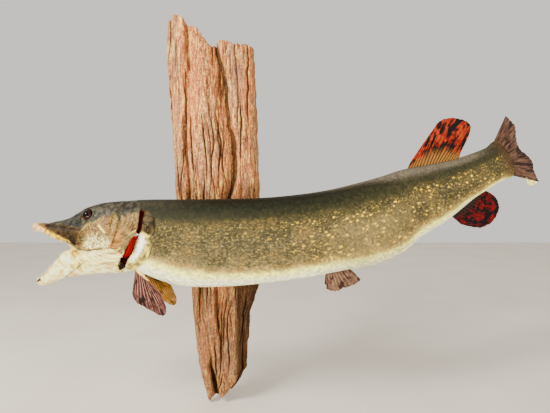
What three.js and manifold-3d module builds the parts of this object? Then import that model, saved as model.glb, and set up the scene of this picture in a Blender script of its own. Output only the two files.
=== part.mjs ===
// A northern pike mounted on a slab of driftwood, life size, in millimetres.
// X runs from the head to the tail, Y into the wall and Z up. The origin lies on the slab's
// sawn back, which hangs flat on the wall, so the fish is in front of it at negative Y.
import * as THREE from "three";
import { mergeVertices } from "three/addons/utils/BufferGeometryUtils.js";
import Module from "manifold-3d";

const wasm = await Module();
wasm.setup();

// ---- driving dimensions ----

const GAP = 0.3; // clearance between touching pieces
const SNAP = 0.04; // grid that the corners lie on
const RING_POINTS = 24; // round the trunk
const BODY_POWER = 2.3; // 2 is an ellipse, more is squarer
const BELLY_PINCH = 0.1; // how much narrower the belly is than the back

// Trunk stations: the back line and the belly line (x, z), the mid-plane's y and the half width.
// The first lies inside the cheeks, and only carries the gill covers' front edge.
const TRUNK = [
  { name: "cheek", back: [-215, 5], belly: [-222, -129], y: -119, half: 44.5 },
  { name: "nape", back: [-175, 11], belly: [-188, -126], y: -122, half: 46.5 },
  { name: "gill opening", back: [-130, 14], belly: [-142, -125], y: -125, half: 48.5 },
  { name: "shoulder", back: [-90, 14.5], belly: [-95, -141.5], y: -128, half: 51 },
  { name: "chest", back: [-43, 14.5], belly: [-43, -152], y: -131, half: 53 },
  { name: "belly front", back: [30, 15.5], belly: [32, -151], y: -132, half: 54 },
  { name: "belly", back: [95, 17.5], belly: [100, -145], y: -132, half: 53 },
  { name: "belly rear", back: [160, 23.5], belly: [172, -136], y: -130, half: 51.5 },
  { name: "pelvic fins", back: [222, 33], belly: [240, -124.5], y: -126, half: 49 },
  { name: "behind pelvic fins", back: [280, 47], belly: [305, -113], y: -121, half: 46.5 },
  { name: "loin", back: [325, 59.5], belly: [358, -93], y: -115, half: 43 },
  { name: "before dorsal fin", back: [365, 72.5], belly: [401, -60], y: -108.5, half: 37.5 },
  { name: "dorsal fin", back: [410, 81.5], belly: [453, -30], y: -101, half: 31 },
  { name: "anal fin", back: [462, 91.5], belly: [501, 7], y: -93, half: 24 },
  { name: "stalk front", back: [505, 104.5], belly: [541, 31], y: -84, half: 18.5 },
  { name: "stalk", back: [545, 119.5], belly: [574, 49], y: -76, half: 14 },
  { name: "tail root", back: [567, 134], belly: [603, 60.5], y: -70, half: 9 },
  { name: "scale tongue", back: [592, 121], belly: [611, 80], y: -66, half: 4 },
];
const TRUNK_LENGTHS = [
  { name: "trunk_front", from: 1, to: 5 },
  { name: "trunk_middle", from: 5, to: 8 },
  { name: "trunk_rear", from: 8, to: 12 },
  { name: "tail_stalk", from: 12, to: 17 },
];

// Upper head stations: roof height and half width, widest level and half width, the lip or
// cheek edge and its half width, and the palate's height.
const HEAD = [
  { x: -349, roof: -31, crown: 5, level: -38, half: 11, edge: -46, lip: 9, palate: -41 },
  { x: -340, roof: -30.5, crown: 11, level: -38, half: 18.5, edge: -47.5, lip: 16.5, palate: -42 },
  { x: -322, roof: -31.5, crown: 15, level: -40, half: 24.5, edge: -49, lip: 23, palate: -43 },
  { x: -304, roof: -28.5, crown: 16, level: -43, half: 28, edge: -57, lip: 26.5, palate: -47 },
  { x: -285, roof: -24, crown: 16.5, level: -46, half: 31, edge: -64.5, lip: 29, palate: -52 },
  { x: -270, roof: -19, crown: 18, level: -48, half: 34, edge: -67, lip: 31.5, palate: -56 },
  { x: -255, roof: -10, crown: 19.5, level: -49, half: 37, edge: -80, lip: 34, palate: -58 },
  { x: -240, roof: -2.5, crown: 21, level: -50, half: 40, edge: -80, lip: 37, palate: -60 },
  { x: -222, roof: 4.5, crown: 23, level: -50, half: 43.5, edge: -80, lip: 40, palate: -62 },
  { x: -200, roof: 9, crown: 24, level: -50, half: 45, edge: -80, lip: 43, palate: -64 },
  { x: -165, roof: 12, crown: 24, level: -50, half: 46.5, edge: -80, lip: 44, palate: -66 },
];
const JAW_CUT_X = -262; // upper jaw and head part here, at the corner of the mouth
const LIP = 4; // thickness of the lips

// Lower head stations: lip height, chin height, half width and the floor of the mouth.
const LOWER = [
  { x: -343, lip: -142, chin: -151, half: 8, floor: -145 },
  { x: -336, lip: -139, chin: -154, half: 14, floor: -146 },
  { x: -322, lip: -129, chin: -153, half: 20, floor: -145 },
  { x: -300, lip: -108.5, chin: -143.5, half: 26, floor: -136 },
  { x: -276, lip: -85, chin: -136.5, half: 31, floor: -127 },
  { x: -262, lip: -80.3, chin: -134, half: 34, floor: -121 },
  { x: -245, lip: -80.3, chin: -132, half: 37, floor: -115 },
  { x: -220, lip: -80.3, chin: -128.5, half: 41, floor: -109 },
  { x: -165, lip: -80.3, chin: -126, half: 45, floor: -106 },
];
const THROAT_CUT_X = -236; // lower jaw and throat part here

const HEAD_Y = { atX: -346, y: -112, slope: -0.061 }; // the head's mid-plane turns to the wall

const EYE = { x: -231, z: -17, inset: 22, radius: 12.3 };
const TONGUE = { from: -312, to: -214, half: 12, thick: 5 };

const JAW_TEETH = { perSide: 7, from: 0.7, to: 3.75, height: 6, radius: 1.3, lean: 0.35 };

// Gill covers, in the trunk's own coordinates: position along the stations at five angles down
// from the back. Each is a shell that lies flush in front and stands off behind.
const COVER = {
  angles: [42, 78, 92, 125, 172],
  front: [1.28, 1.3, 1.1, 0.75, 0.5],
  rear: [2.2, 2.28, 2.0, 1.55, 1.05],
  shell: 3,
  flushFront: 0.6,
  standOff: 6.5,
};
// Gill chambers behind the covers. The front edge of the shoulder closes them.
const CHAMBER = {
  angles: [46, 80, 93, 115, 152],
  rear: [2.36, 2.36, 2.17, 1.98, 1.42],
  front: [1.42, 1.44, 1.25, 1.06, 1.06],
  depth: 14,
};
// The gills lie on the bottom of the chambers, a little inside their edges.
const GILLS = {
  angles: [48, 80, 93, 114, 149],
  inset: 0.03,
  depth: 7,
};

// Fins: the root line, sunk in the body, and the free edge, both from the front to the rear, as
// (x, z) points, with the y offset from the mid-plane at root and edge.
const DORSAL = {
  root: [[374, 70], [430, 82], [484, 95]],
  edge: [[385, 91], [424, 145], [446, 171], [478, 177.5], [508, 168], [508, 146], [488, 109]],
  rays: 17,
};
const ANAL = {
  root: [[470, -20], [506, 7], [540, 34]],
  edge: [[491, -37], [533, -43.5], [563, -29], [577, -3], [569, 18], [551, 29]],
  rays: 15,
};
const CAUDAL = {
  root: [[562, 130], [590, 104], [597, 66]],
  edge: [[592, 188], [611, 168], [614, 145], [622, 121], [646, 97], [652, 73], [662, 50]],
  rays: 17,
};
const PECTORAL = {
  root: [[-141, -112], [-130, -124], [-118, -136]],
  edge: [[-142, -160], [-134, -175], [-112, -187], [-86, -199], [-77, -187], [-88, -158]],
  rays: 13,
  rootOff: 21,
  edgeOff: 40,
};
const PELVIC = {
  root: [[215, -118], [234, -114], [252, -109]],
  edge: [[213, -155], [231, -159], [246, -153], [265, -147], [278, -136], [259, -122]],
  rays: 11,
  rootOff: 12,
  edgeOff: 23,
  rightBack: 2,
};
const FIN_ROOT = 3.2; // thickness at the root
const FIN_EDGE = 1.2; // thickness at the free edge
const FIN_ROWS = 3;

// Driftwood slab, from the foot to the top: left and right edges and thickness at each height.
const SLAB = [
  { z: -427, left: -34, right: 18, thick: 16 },
  { z: -398, left: -36, right: 26, thick: 28 },
  { z: -375, left: -40, right: 43, thick: 37 },
  { z: -352, left: -45, right: 56, thick: 44 },
  { z: -296, left: -53, right: 59, thick: 52 },
  { z: -226, left: -59, right: 65, thick: 59 },
  { z: -174, left: -63, right: 83, thick: 66 },
  { z: -80, left: -78, right: 84, thick: 83 },
  { z: 17, left: -93, right: 85.5, thick: 83 },
  { z: 169, left: -103.5, right: 80, thick: 74 },
  { z: 259, left: -111, right: 77, thick: 68 },
  { z: 324, left: -116.5, right: 73, thick: 62 },
  { z: 407, left: -115, right: 70, thick: 50 },
];
// Top and foot outlines across the slab, from left to right.
const SLAB_TOP = [398, 409, 405, 383, 379, 357, 342, 350, 348, 342, 344, 343];
const SLAB_FOOT = [-398, -427, -416, -414, -416, -409, -398];
// Grooves run down the face: centre x and depth at heights from the top down, and half width.
const GROOVES = [
  {
    name: "main cleft",
    heights: [370, 300, 240, 158, 75, -60, -180, -290, -340],
    x: [-12, 10, 20, 22, 33, 40, 42, 42, 38],
    depth: [18, 34, 40, 26, 34, 28, 30, 18, 0],
    width: 8,
  },
  {
    name: "left crack",
    heights: [400, 300, 230, 160, 20, -170, -300],
    x: [-70, -63, -58, -72, -56, -36, -28],
    depth: [14, 12, 3, 13, 14, 11, 0],
    width: 5,
  },
  {
    name: "lower crack",
    heights: [-120, -178, -256, -300],
    x: [-6, -5, -1, 0],
    depth: [0, 13, 10, 0],
    width: 4,
  },
  {
    name: "foot split",
    heights: [-300, -345, -380, -412],
    x: [-23, -17, -11, -8],
    depth: [0, 16, 26, 20],
    width: 5,
  },
];
const SLAB_COLUMNS = 18;
const SLAB_ROWS = 16;
const EDGE_THICK = 0.38; // share of the slab's thickness left at its rounded sides

// ---- curves ----

const clamp = (v, low, high) => Math.min(Math.max(v, low), high);

// A smooth curve through evenly spaced knots, at t counted in knots.
function through(knots, t) {
  const last = knots.length - 1;
  const i = clamp(Math.floor(t), 0, last - 1);
  const f = t - i;
  const [a, b, c, d] = [i - 1, i, i + 1, i + 2].map((k) => knots[clamp(k, 0, last)]);
  return b + 0.5 * f * (c - a + f * (2 * a - 5 * b + 4 * c - d + f * (3 * (b - c) + d - a)));
}

// Straight lines through knots at given places, which rise or fall steadily.
function between(places, values, at) {
  const rising = places.at(-1) > places[0];
  const i = places.findIndex((p, k) => k > 0 && (rising ? at <= p : at >= p));
  if (i < 0) return values.at(-1);
  const f = clamp((at - places[i - 1]) / (places[i] - places[i - 1]), 0, 1);
  return values[i - 1] + f * (values[i] - values[i - 1]);
}

const smooth = (low, high, v) => THREE.MathUtils.smoothstep(v, low, high);
const headY = (x) => HEAD_Y.y + HEAD_Y.slope * (x - HEAD_Y.atX);

// ---- closed meshes ----

// Triangles of a flat ring, wound as the ring is.
function capFaces(ring, first) {
  const flat = ring.map((p) => new THREE.Vector2(p.y, p.z));
  const turn = Math.sign(THREE.ShapeUtils.area(flat));
  return THREE.ShapeUtils.triangulateShape(flat, []).flatMap(([a, b, c]) => {
    const same = Math.sign(THREE.ShapeUtils.area([flat[a], flat[b], flat[c]])) === turn;
    return (same ? [a, b, c] : [a, c, b]).map((k) => first + k);
  });
}

function geometryOf(points, faces) {
  const geometry = new THREE.BufferGeometry();
  geometry.setAttribute(
    "position",
    new THREE.Float32BufferAttribute(points.flatMap((p) => p.toArray()), 3),
  );
  geometry.setIndex(faces);
  return geometry;
}

// A closed body through rings of equal size.
function loft(rings) {
  const size = rings[0].length;
  const faces = [];
  for (let i = 0; i + 1 < rings.length; i++)
    for (let j = 0; j < size; j++) {
      const k = (j + 1) % size;
      const [a, b, c, d] = [i * size + j, i * size + k, (i + 1) * size + k, (i + 1) * size + j];
      faces.push(a, b, c, a, c, d);
    }
  const end = (rings.length - 1) * size;
  faces.push(...capFaces(rings[0], 0).reverse(), ...capFaces(rings.at(-1), end));
  return geometryOf(rings.flat(), faces);
}

// A closed body between two grids of equal size, such as a fin or a shell.
function slab(front, back) {
  const [rows, columns] = [front.length, front[0].length];
  const half = rows * columns;
  const at = (side, i, j) => side * half + i * columns + j;
  const faces = [];
  const quad = (a, b, c, d) => faces.push(a, b, c, a, c, d);
  for (let i = 0; i + 1 < rows; i++)
    for (let j = 0; j + 1 < columns; j++) {
      quad(at(0, i, j), at(0, i, j + 1), at(0, i + 1, j + 1), at(0, i + 1, j));
      quad(at(1, i, j), at(1, i + 1, j), at(1, i + 1, j + 1), at(1, i, j + 1));
    }
  for (let i = 0; i + 1 < rows; i++) {
    quad(at(0, i, 0), at(0, i + 1, 0), at(1, i + 1, 0), at(1, i, 0));
    quad(at(0, i, columns - 1), at(1, i, columns - 1), at(1, i + 1, columns - 1), at(0, i + 1, columns - 1));
  }
  for (let j = 0; j + 1 < columns; j++) {
    quad(at(0, 0, j), at(1, 0, j), at(1, 0, j + 1), at(0, 0, j + 1));
    quad(at(0, rows - 1, j), at(0, rows - 1, j + 1), at(1, rows - 1, j + 1), at(1, rows - 1, j));
  }
  return geometryOf([...front.flat(), ...back.flat()], faces);
}

// A closed mesh as a solid that can be cut and joined, turned face out if need be.
function solid(geometry) {
  const bare = geometry.clone();
  bare.deleteAttribute("normal");
  bare.deleteAttribute("uv");
  const merged = mergeVertices(bare, 1e-4);
  const build = (triVerts) =>
    new wasm.Manifold(
      new wasm.Mesh({ numProp: 3, vertProperties: merged.attributes.position.array, triVerts }),
    );
  const faces = new Uint32Array(merged.index.array);
  const made = build(faces);
  return made.volume() > 0 ? made : build(faces.reverse());
}

// A solid's mesh, with its corners on a fine grid and without the slivers that a cut leaves.
function geometryFrom(body) {
  const mesh = body.getMesh();
  const points = [];
  for (let i = 0; i < mesh.numVert; i++) {
    const corner = new THREE.Vector3().fromArray(mesh.vertProperties, i * mesh.numProp);
    points.push(corner.divideScalar(SNAP).round().multiplyScalar(SNAP));
  }
  const snapped = mergeVertices(geometryOf(points, Array.from(mesh.triVerts)), SNAP / 4);
  const faces = [];
  for (let i = 0; i < snapped.index.count; i += 3) {
    const [a, b, c] = [0, 1, 2].map((k) => snapped.index.getX(i + k));
    if (a !== b && b !== c && c !== a) faces.push(a, b, c);
  }
  snapped.setIndex(faces);
  return snapped;
}

// The largest piece of a body, without the slivers that a cut can leave.
const largest = (body) => body.decompose().reduce((a, b) => (b.volume() > a.volume() ? b : a));

function box(low, high) {
  const size = high.map((h, i) => h - low[i]);
  const middle = high.map((h, i) => (h + low[i]) / 2);
  return solid(new THREE.BoxGeometry(...size).translate(...middle));
}
const WIDE = 1000;
const ahead = (x) => box([-WIDE, -WIDE, -WIDE], [x, WIDE, WIDE]);
const behind = (x) => box([x, -WIDE, -WIDE], [WIDE, WIDE, WIDE]);

// ---- the trunk ----

const stationAt = (t) => {
  const line = (pick) => through(TRUNK.map(pick), t);
  return {
    back: new THREE.Vector3(line((s) => s.back[0]), line((s) => s.y), line((s) => s.back[1])),
    belly: new THREE.Vector3(line((s) => s.belly[0]), line((s) => s.y), line((s) => s.belly[1])),
    half: line((s) => s.half),
  };
};

// A point of the trunk's skin: t along the stations, the angle down from the back, which is
// positive on the fish's right, and a distance outwards.
function trunkPoint(t, angle, out = 0) {
  const here = stationAt(t);
  const next = stationAt(t + 0.01);
  const ahead = next.back.clone().add(next.belly).sub(here.back).sub(here.belly);
  const side = new THREE.Vector3(-ahead.y, ahead.x, 0).normalize();
  const up = here.back.clone().sub(here.belly).multiplyScalar(0.5);
  const tall = up.length();
  const power = 2 / BODY_POWER;
  const [c, s] = [Math.cos(angle), Math.sin(angle)];
  const rise = Math.sign(c) * Math.abs(c) ** power;
  const spread = Math.sign(s) * Math.abs(s) ** power * (1 - BELLY_PINCH * Math.max(0, -c));
  return here.back
    .clone()
    .add(here.belly)
    .multiplyScalar(0.5)
    .addScaledVector(up, rise * (1 + out / tall))
    .addScaledVector(side, spread * (here.half + out));
}

function trunkLoft(from, to, out = 0) {
  const steps = Math.ceil((to - from) * 2);
  const rings = [];
  for (let i = 0; i <= steps; i++) {
    const t = from + ((to - from) * i) / steps;
    const ring = [];
    for (let j = 0; j < RING_POINTS; j++)
      ring.push(trunkPoint(t, (2 * Math.PI * j) / RING_POINTS, out));
    rings.push(ring);
  }
  return solid(loft(rings));
}

// How far along the stations one millimetre is, near t.
function stepPerMm(t) {
  const [a, b] = [trunkPoint(t, Math.PI / 2), trunkPoint(t + 0.05, Math.PI / 2)];
  return 0.05 / a.distanceTo(b);
}

// ---- gill covers, chambers and gills, on one side (1 is the fish's right, -1 its left) ----

const radians = THREE.MathUtils.degToRad;

// A shell over the trunk between two edges, and between two distances out of the skin.
function trunkShell(side, angles, front, rear, outer, inner, [rows, columns] = [5, 3]) {
  const grid = (distance) => {
    const made = [];
    for (let i = 0; i <= rows; i++) {
      const down = (i / rows) * (angles.length - 1);
      const angle = side * radians(through(angles, down));
      const row = [];
      for (let j = 0; j <= columns; j++) {
        const f = j / columns;
        const t = THREE.MathUtils.lerp(through(front, down), through(rear, down), f);
        row.push(trunkPoint(t, angle, distance(f, i / rows)));
      }
      made.push(row);
    }
    return made;
  };
  return solid(slab(grid(outer), grid(inner)));
}

function gillCover(side, grown = 0) {
  const reach = grown * 0.03;
  const bulge = (f, down) =>
    COVER.flushFront + COVER.standOff * f ** 1.5 * Math.sin(Math.PI * clamp(down * 0.9 + 0.12, 0, 1));
  return trunkShell(
    side,
    COVER.angles.map((a, i) => a + (i === 0 ? -1 : i === 4 ? 1 : 0) * grown),
    COVER.front.map((t) => t - reach),
    COVER.rear.map((t) => t + reach),
    (f, down) => bulge(f, down) + grown,
    (f, down) => bulge(f, down) - COVER.shell - grown,
    [8, 5],
  );
}

function gillChamber(side) {
  const { angles, front, rear, depth } = CHAMBER;
  return trunkShell(side, angles, front, rear, () => depth, () => -depth);
}

function gillPack(side) {
  return trunkShell(
    side,
    GILLS.angles,
    CHAMBER.front.map((t) => t + GILLS.inset),
    CHAMBER.rear.map((t) => t - GILLS.inset),
    () => -GILLS.depth,
    () => -CHAMBER.depth + 3 * GAP,
  );
}

// ---- head and jaws ----

// A closed ring through half a section, from its top to its bottom on the mid-plane.
function mirroredRing(x, half) {
  const knots = [...half, ...half.slice(1, -1).reverse().map(([w, z]) => [-w, z])];
  return knots.map(([w, z]) => new THREE.Vector3(x, headY(x) + w, z));
}

function headSection(t, grown = 0) {
  const v = (key) => through(HEAD.map((s) => s[key]), t);
  const [roof, crown, level, half] = [v("roof") + grown, v("crown"), v("level"), v("half") + grown];
  const [edge, lip, palate] = [v("edge") - grown, v("lip"), v("palate") - grown];
  return mirroredRing(v("x"), [
    [0, roof],
    [crown * 0.6, roof - 0.5],
    [crown, THREE.MathUtils.lerp(roof, level, 0.12)],
    [(crown + half) / 2 + 1, THREE.MathUtils.lerp(roof, level, 0.48)],
    [half, level],
    [(half + lip) / 2, THREE.MathUtils.lerp(level, edge, 0.6)],
    [lip, edge],
    [lip - Math.min(LIP, lip * 0.2), edge + 1],
    [lip * 0.66, palate - 1],
    [lip * 0.35, palate + 1],
    [0, palate + 2],
  ]);
}

function lowerSection(t) {
  const v = (key) => through(LOWER.map((s) => s[key]), t);
  const [lip, chin, half, floor] = [v("lip"), v("chin"), v("half"), v("floor")];
  const wall = Math.min(LIP, half * 0.35);
  return mirroredRing(v("x"), [
    [0, floor],
    [(half - wall) * 0.6, floor + 1],
    [half - wall - 1, (floor + lip) / 2],
    [half - wall, lip - 0.5],
    [half - wall / 2, lip],
    [half, lip - 1],
    [half * 1.03, (lip + chin) / 2 + 2],
    [half * 0.72, chin + 5],
    [half * 0.3, chin + 0.6],
    [0, chin],
  ]);
}

function headLoft(section, stations) {
  const rings = [];
  for (let i = 0; i <= (stations - 1) * 2; i++) rings.push(section(i / 2));
  return solid(loft(rings));
}

function eyeBall(side, grown = 0) {
  const ball = new THREE.SphereGeometry(EYE.radius + grown, 12, 8);
  return solid(ball.translate(EYE.x, headY(EYE.x) + side * EYE.inset, EYE.z));
}

function tongueBody() {
  const rings = [];
  for (let i = 0; i <= 8; i++) {
    const f = i / 8;
    const x = THREE.MathUtils.lerp(TONGUE.from, TONGUE.to, f);
    const wide = TONGUE.half * (0.35 + 0.65 * smooth(0, 0.35, f)) * (1 + 0.5 * f);
    const base = between(LOWER.map((s) => s.x), LOWER.map((s) => s.floor), x) + 1.6;
    const ring = [];
    for (let j = 0; j < 12; j++) {
      const a = (2 * Math.PI * j) / 12;
      const up = TONGUE.thick * (0.5 + 0.5 * Math.sin(a));
      ring.push(new THREE.Vector3(x, headY(x) + wide * Math.cos(a), base + up));
    }
    rings.push(ring);
  }
  return solid(loft(rings));
}

// The large teeth of the lower jaw, which lean back and inwards.
function jawTeeth() {
  const teeth = [];
  for (let i = 0; i < JAW_TEETH.perSide; i++) {
    const t = THREE.MathUtils.lerp(JAW_TEETH.from, JAW_TEETH.to, i / (JAW_TEETH.perSide - 1));
    const v = (key) => through(LOWER.map((s) => s[key]), t);
    const tall = JAW_TEETH.height * (0.65 + 0.35 * Math.sin(i * 2.4));
    for (const side of [-1, 1]) {
      const tooth = new THREE.ConeGeometry(JAW_TEETH.radius, tall + 3, 6);
      tooth.translate(0, (tall - 3) / 2, 0).rotateX(Math.PI / 2);
      tooth.rotateY(JAW_TEETH.lean).rotateX(side * 0.15);
      const inset = Math.min(LIP, v("half") * 0.35) / 2;
      const x = v("x");
      teeth.push(solid(tooth.translate(x, headY(x) + side * (v("half") - inset), v("lip"))));
    }
  }
  return teeth;
}

// ---- fins ----

// A fin as a ribbed sheet between its root and its free edge.
function fin({ root, edge, rays, rootOff = 0, edgeOff = 0, rightBack = 0 }, side = 1) {
  const columns = rays;
  const midY = (x) => {
    const centres = TRUNK.map((s) => (s.back[0] + s.belly[0]) / 2);
    return between(centres, TRUNK.map((s) => s.y), x);
  };
  const along = (points, f) => {
    const t = f * (points.length - 1);
    return [through(points.map((p) => p[0]), t), through(points.map((p) => p[1]), t)];
  };
  const middle = [];
  for (let i = 0; i <= columns; i++) {
    const [a, b] = [along(root, i / columns), along(edge, i / columns)];
    const row = [];
    for (let j = 0; j <= FIN_ROWS; j++) {
      const f = j / FIN_ROWS;
      const x = THREE.MathUtils.lerp(a[0], b[0], f) + (side > 0 ? rightBack : 0);
      const z = THREE.MathUtils.lerp(a[1], b[1], f);
      const off = side * THREE.MathUtils.lerp(rootOff, edgeOff, f);
      row.push(new THREE.Vector3(x, midY(x) + off, z));
    }
    middle.push(row);
  }
  const grid = (face) =>
    middle.map((row, i) =>
      row.map((p, j) => {
        const rib = i % 2 ? 1 : 0.7;
        const thick = THREE.MathUtils.lerp(FIN_ROOT, FIN_EDGE, j / FIN_ROWS) * rib;
        return new THREE.Vector3(p.x, p.y + (face * thick) / 2, p.z);
      }),
    );
  return solid(slab(grid(-1), grid(1)));
}

// ---- driftwood ----

const slabAt = (key, z) => between(SLAB.map((s) => s.z), SLAB.map((s) => s[key]), z);

function woodDepth(x, z, across) {
  const thick = slabAt("thick", z);
  const sides = Math.sqrt(Math.max(0, 1 - Math.abs(2 * across - 1) ** 3));
  let depth = thick * (EDGE_THICK + (1 - EDGE_THICK) * sides);
  for (const groove of GROOVES) {
    const reach = between(groove.heights, groove.depth, z);
    const off = (x - between(groove.heights, groove.x, z)) / groove.width;
    const inside = z <= groove.heights[0] + 20 && z >= groove.heights.at(-1) - 20;
    if (inside) depth -= reach * Math.exp(-off * off);
  }
  const shadedSide = smooth(44, 54, x) * smooth(-120, -200, z);
  return Math.max(depth - 16 * shadedSide, 9);
}

function driftwood() {
  const front = [];
  const back = [];
  for (let i = 0; i <= SLAB_ROWS; i++) {
    const f = i / SLAB_ROWS;
    const [frontRow, backRow] = [[], []];
    for (let j = 0; j <= SLAB_COLUMNS; j++) {
      const across = j / SLAB_COLUMNS;
      const foot = through(SLAB_FOOT, across * (SLAB_FOOT.length - 1));
      const top = through(SLAB_TOP, across * (SLAB_TOP.length - 1));
      const z = THREE.MathUtils.lerp(foot, top, f);
      const x = THREE.MathUtils.lerp(slabAt("left", z), slabAt("right", z), across);
      frontRow.push(new THREE.Vector3(x, -woodDepth(x, z, across), z));
      backRow.push(new THREE.Vector3(x, 0, z));
    }
    front.push(frontRow);
    back.push(backRow);
  }
  return solid(slab(front, back));
}

// ---- assembly ----

const COLOURS = {
  flesh: [0x6e6a3c, 0.45],
  jaw: [0xd9cfae, 0.5],
  cover: [0xa98a5c, 0.45],
  gills: [0xa01010, 0.5],
  eye: [0x2a2018, 0.15],
  fin: [0x7c5648, 0.5],
  redFin: [0xb04426, 0.5],
  wood: [0x9c6b45, 0.85],
};
const model = new THREE.Group();

function place(name, body, look) {
  const [color, roughness] = COLOURS[look];
  const material = new THREE.MeshStandardMaterial({ color, roughness, metalness: 0 });
  const mesh = new THREE.Mesh(geometryFrom(largest(body)), material);
  mesh.name = name;
  model.add(mesh);
}

const SIDES = [["left", -1], ["right", 1]];
const coversGrown = SIDES.map(([, side]) => gillCover(side, GAP));
const chambers = SIDES.map(([, side]) => gillChamber(side));
const withoutCovers = (body) => coversGrown.reduce((b, c) => b.subtract(c), body);

for (const { name, from, to } of TRUNK_LENGTHS) {
  const start = from + (GAP / 2) * stepPerMm(from);
  const end = to - (GAP / 2) * stepPerMm(to - 0.1);
  let body = trunkLoft(start, end);
  if (name === "trunk_front")
    body = withoutCovers(chambers.reduce((b, c) => b.subtract(c), body));
  place(name, body, "flesh");
}

const trunkGrown = trunkLoft(1 - (GAP / 2) * stepPerMm(1), TRUNK.length - 1, GAP);
const frontFace = trunkLoft(1 - (GAP / 2) * stepPerMm(1), 3, 25);
const eyesGrown = SIDES.map(([, side]) => eyeBall(side, GAP));
const upper = withoutCovers(headLoft(headSection, HEAD.length)).subtract(frontFace);
place("upper_jaw", upper.intersect(ahead(JAW_CUT_X - GAP / 2)), "flesh");
place(
  "head",
  eyesGrown.reduce((b, e) => b.subtract(e), upper.intersect(behind(JAW_CUT_X + GAP / 2))),
  "flesh",
);

const lower = withoutCovers(headLoft(lowerSection, LOWER.length)).subtract(frontFace);
const upperGrown = headLoft((t) => headSection(t, GAP), HEAD.length);
const lowerFree = lower.subtract(upperGrown);
const jaw = lowerFree.intersect(ahead(THROAT_CUT_X - GAP / 2));
place("lower_jaw", jawTeeth().reduce((b, tooth) => b.add(tooth), jaw), "jaw");
place("throat", lowerFree.intersect(behind(THROAT_CUT_X + GAP / 2)), "jaw");
place("tongue", tongueBody().subtract(frontFace), "jaw");

for (const [name, side] of SIDES) {
  place(`eye_${name}`, eyeBall(side), "eye");
  place(`gill_cover_${name}`, gillCover(side), "cover");
  place(`gills_${name}`, gillPack(side), "gills");
  place(`pectoral_fin_${name}`, fin(PECTORAL, side).subtract(trunkGrown), "fin");
  place(`pelvic_fin_${name}`, fin(PELVIC, side).subtract(trunkGrown), "fin");
}
place("dorsal_fin", fin(DORSAL).subtract(trunkGrown), "redFin");
place("anal_fin", fin(ANAL).subtract(trunkGrown), "redFin");
place("tail_fin", fin(CAUDAL).subtract(trunkGrown), "fin");
place("driftwood", driftwood().subtract(trunkGrown), "wood");

export default model;
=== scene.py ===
import bmesh
import bpy
import numpy as np
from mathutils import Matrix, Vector


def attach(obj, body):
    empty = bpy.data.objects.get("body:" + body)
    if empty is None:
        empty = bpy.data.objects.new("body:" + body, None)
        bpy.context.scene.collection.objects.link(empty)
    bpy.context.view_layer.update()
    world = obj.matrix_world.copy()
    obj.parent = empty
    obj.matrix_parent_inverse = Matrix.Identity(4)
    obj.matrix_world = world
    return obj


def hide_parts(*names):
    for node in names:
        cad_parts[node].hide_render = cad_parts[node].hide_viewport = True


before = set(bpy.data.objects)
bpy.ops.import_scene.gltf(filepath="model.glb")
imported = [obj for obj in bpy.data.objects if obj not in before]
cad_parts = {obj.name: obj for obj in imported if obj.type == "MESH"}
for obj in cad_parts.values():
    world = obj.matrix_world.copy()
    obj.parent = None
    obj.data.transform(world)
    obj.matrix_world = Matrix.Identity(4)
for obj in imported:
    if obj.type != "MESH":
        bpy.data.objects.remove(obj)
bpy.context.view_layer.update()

MM = 0.001
LEFT, RIGHT = -1, 1  # the fish's left side faces the viewer, towards negative Y
SIDES = (("left", LEFT), ("right", RIGHT))

# ---------------------------------------------------------------- the fish's shape, in mm

# Trunk stations, as in the solids: back line and belly line (x, z), mid-plane y, half width.
TRUNK = np.array([
    # back x, back z, belly x, belly z, y, half
    [-215, 5, -222, -129, -119, 44.5],
    [-175, 11, -188, -126, -122, 46.5],
    [-130, 14, -142, -125, -125, 48.5],
    [-90, 14.5, -95, -141.5, -128, 51],
    [-43, 14.5, -43, -152, -131, 53],
    [30, 15.5, 32, -151, -132, 54],
    [95, 17.5, 100, -145, -132, 53],
    [160, 23.5, 172, -136, -130, 51.5],
    [222, 33, 240, -124.5, -126, 49],
    [280, 47, 305, -113, -121, 46.5],
    [325, 59.5, 358, -93, -115, 43],
    [365, 72.5, 401, -60, -108.5, 37.5],
    [410, 81.5, 453, -30, -101, 31],
    [462, 91.5, 501, 7, -93, 24],
    [505, 104.5, 541, 31, -84, 18.5],
    [545, 119.5, 574, 49, -76, 14],
    [567, 134, 603, 60.5, -70, 9],
    [592, 121, 611, 80, -66, 4],
])
TRUNK_END = len(TRUNK) - 1
BODY_POWER = 2.3
BELLY_PINCH = 0.1

# Upper head stations, as in the solids.
HEAD = np.array([
    # x, roof, crown, level, half, edge, lip, palate
    [-349, -31, 5, -38, 11, -46, 9, -41],
    [-340, -30.5, 11, -38, 18.5, -47.5, 16.5, -42],
    [-322, -31.5, 15, -40, 24.5, -49, 23, -43],
    [-304, -28.5, 16, -43, 28, -57, 26.5, -47],
    [-285, -24, 16.5, -46, 31, -64.5, 29, -52],
    [-270, -19, 18, -48, 34, -67, 31.5, -56],
    [-255, -10, 19.5, -49, 37, -80, 34, -58],
    [-240, -2.5, 21, -50, 40, -80, 37, -60],
    [-222, 4.5, 23, -50, 43.5, -80, 40, -62],
    [-200, 9, 24, -50, 45, -80, 43, -64],
    [-165, 12, 24, -50, 46.5, -80, 44, -66],
])
LIP = 4

# Lower head stations, as in the solids.
LOWER = np.array([
    # x, lip, chin, half, floor
    [-343, -142, -151, 8, -145],
    [-336, -139, -154, 14, -146],
    [-322, -129, -153, 20, -145],
    [-300, -108.5, -143.5, 26, -136],
    [-276, -85, -136.5, 31, -127],
    [-262, -80.3, -134, 34, -121],
    [-245, -80.3, -132, 37, -115],
    [-220, -80.3, -128.5, 41, -109],
    [-165, -80.3, -126, 45, -106],
])

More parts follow.
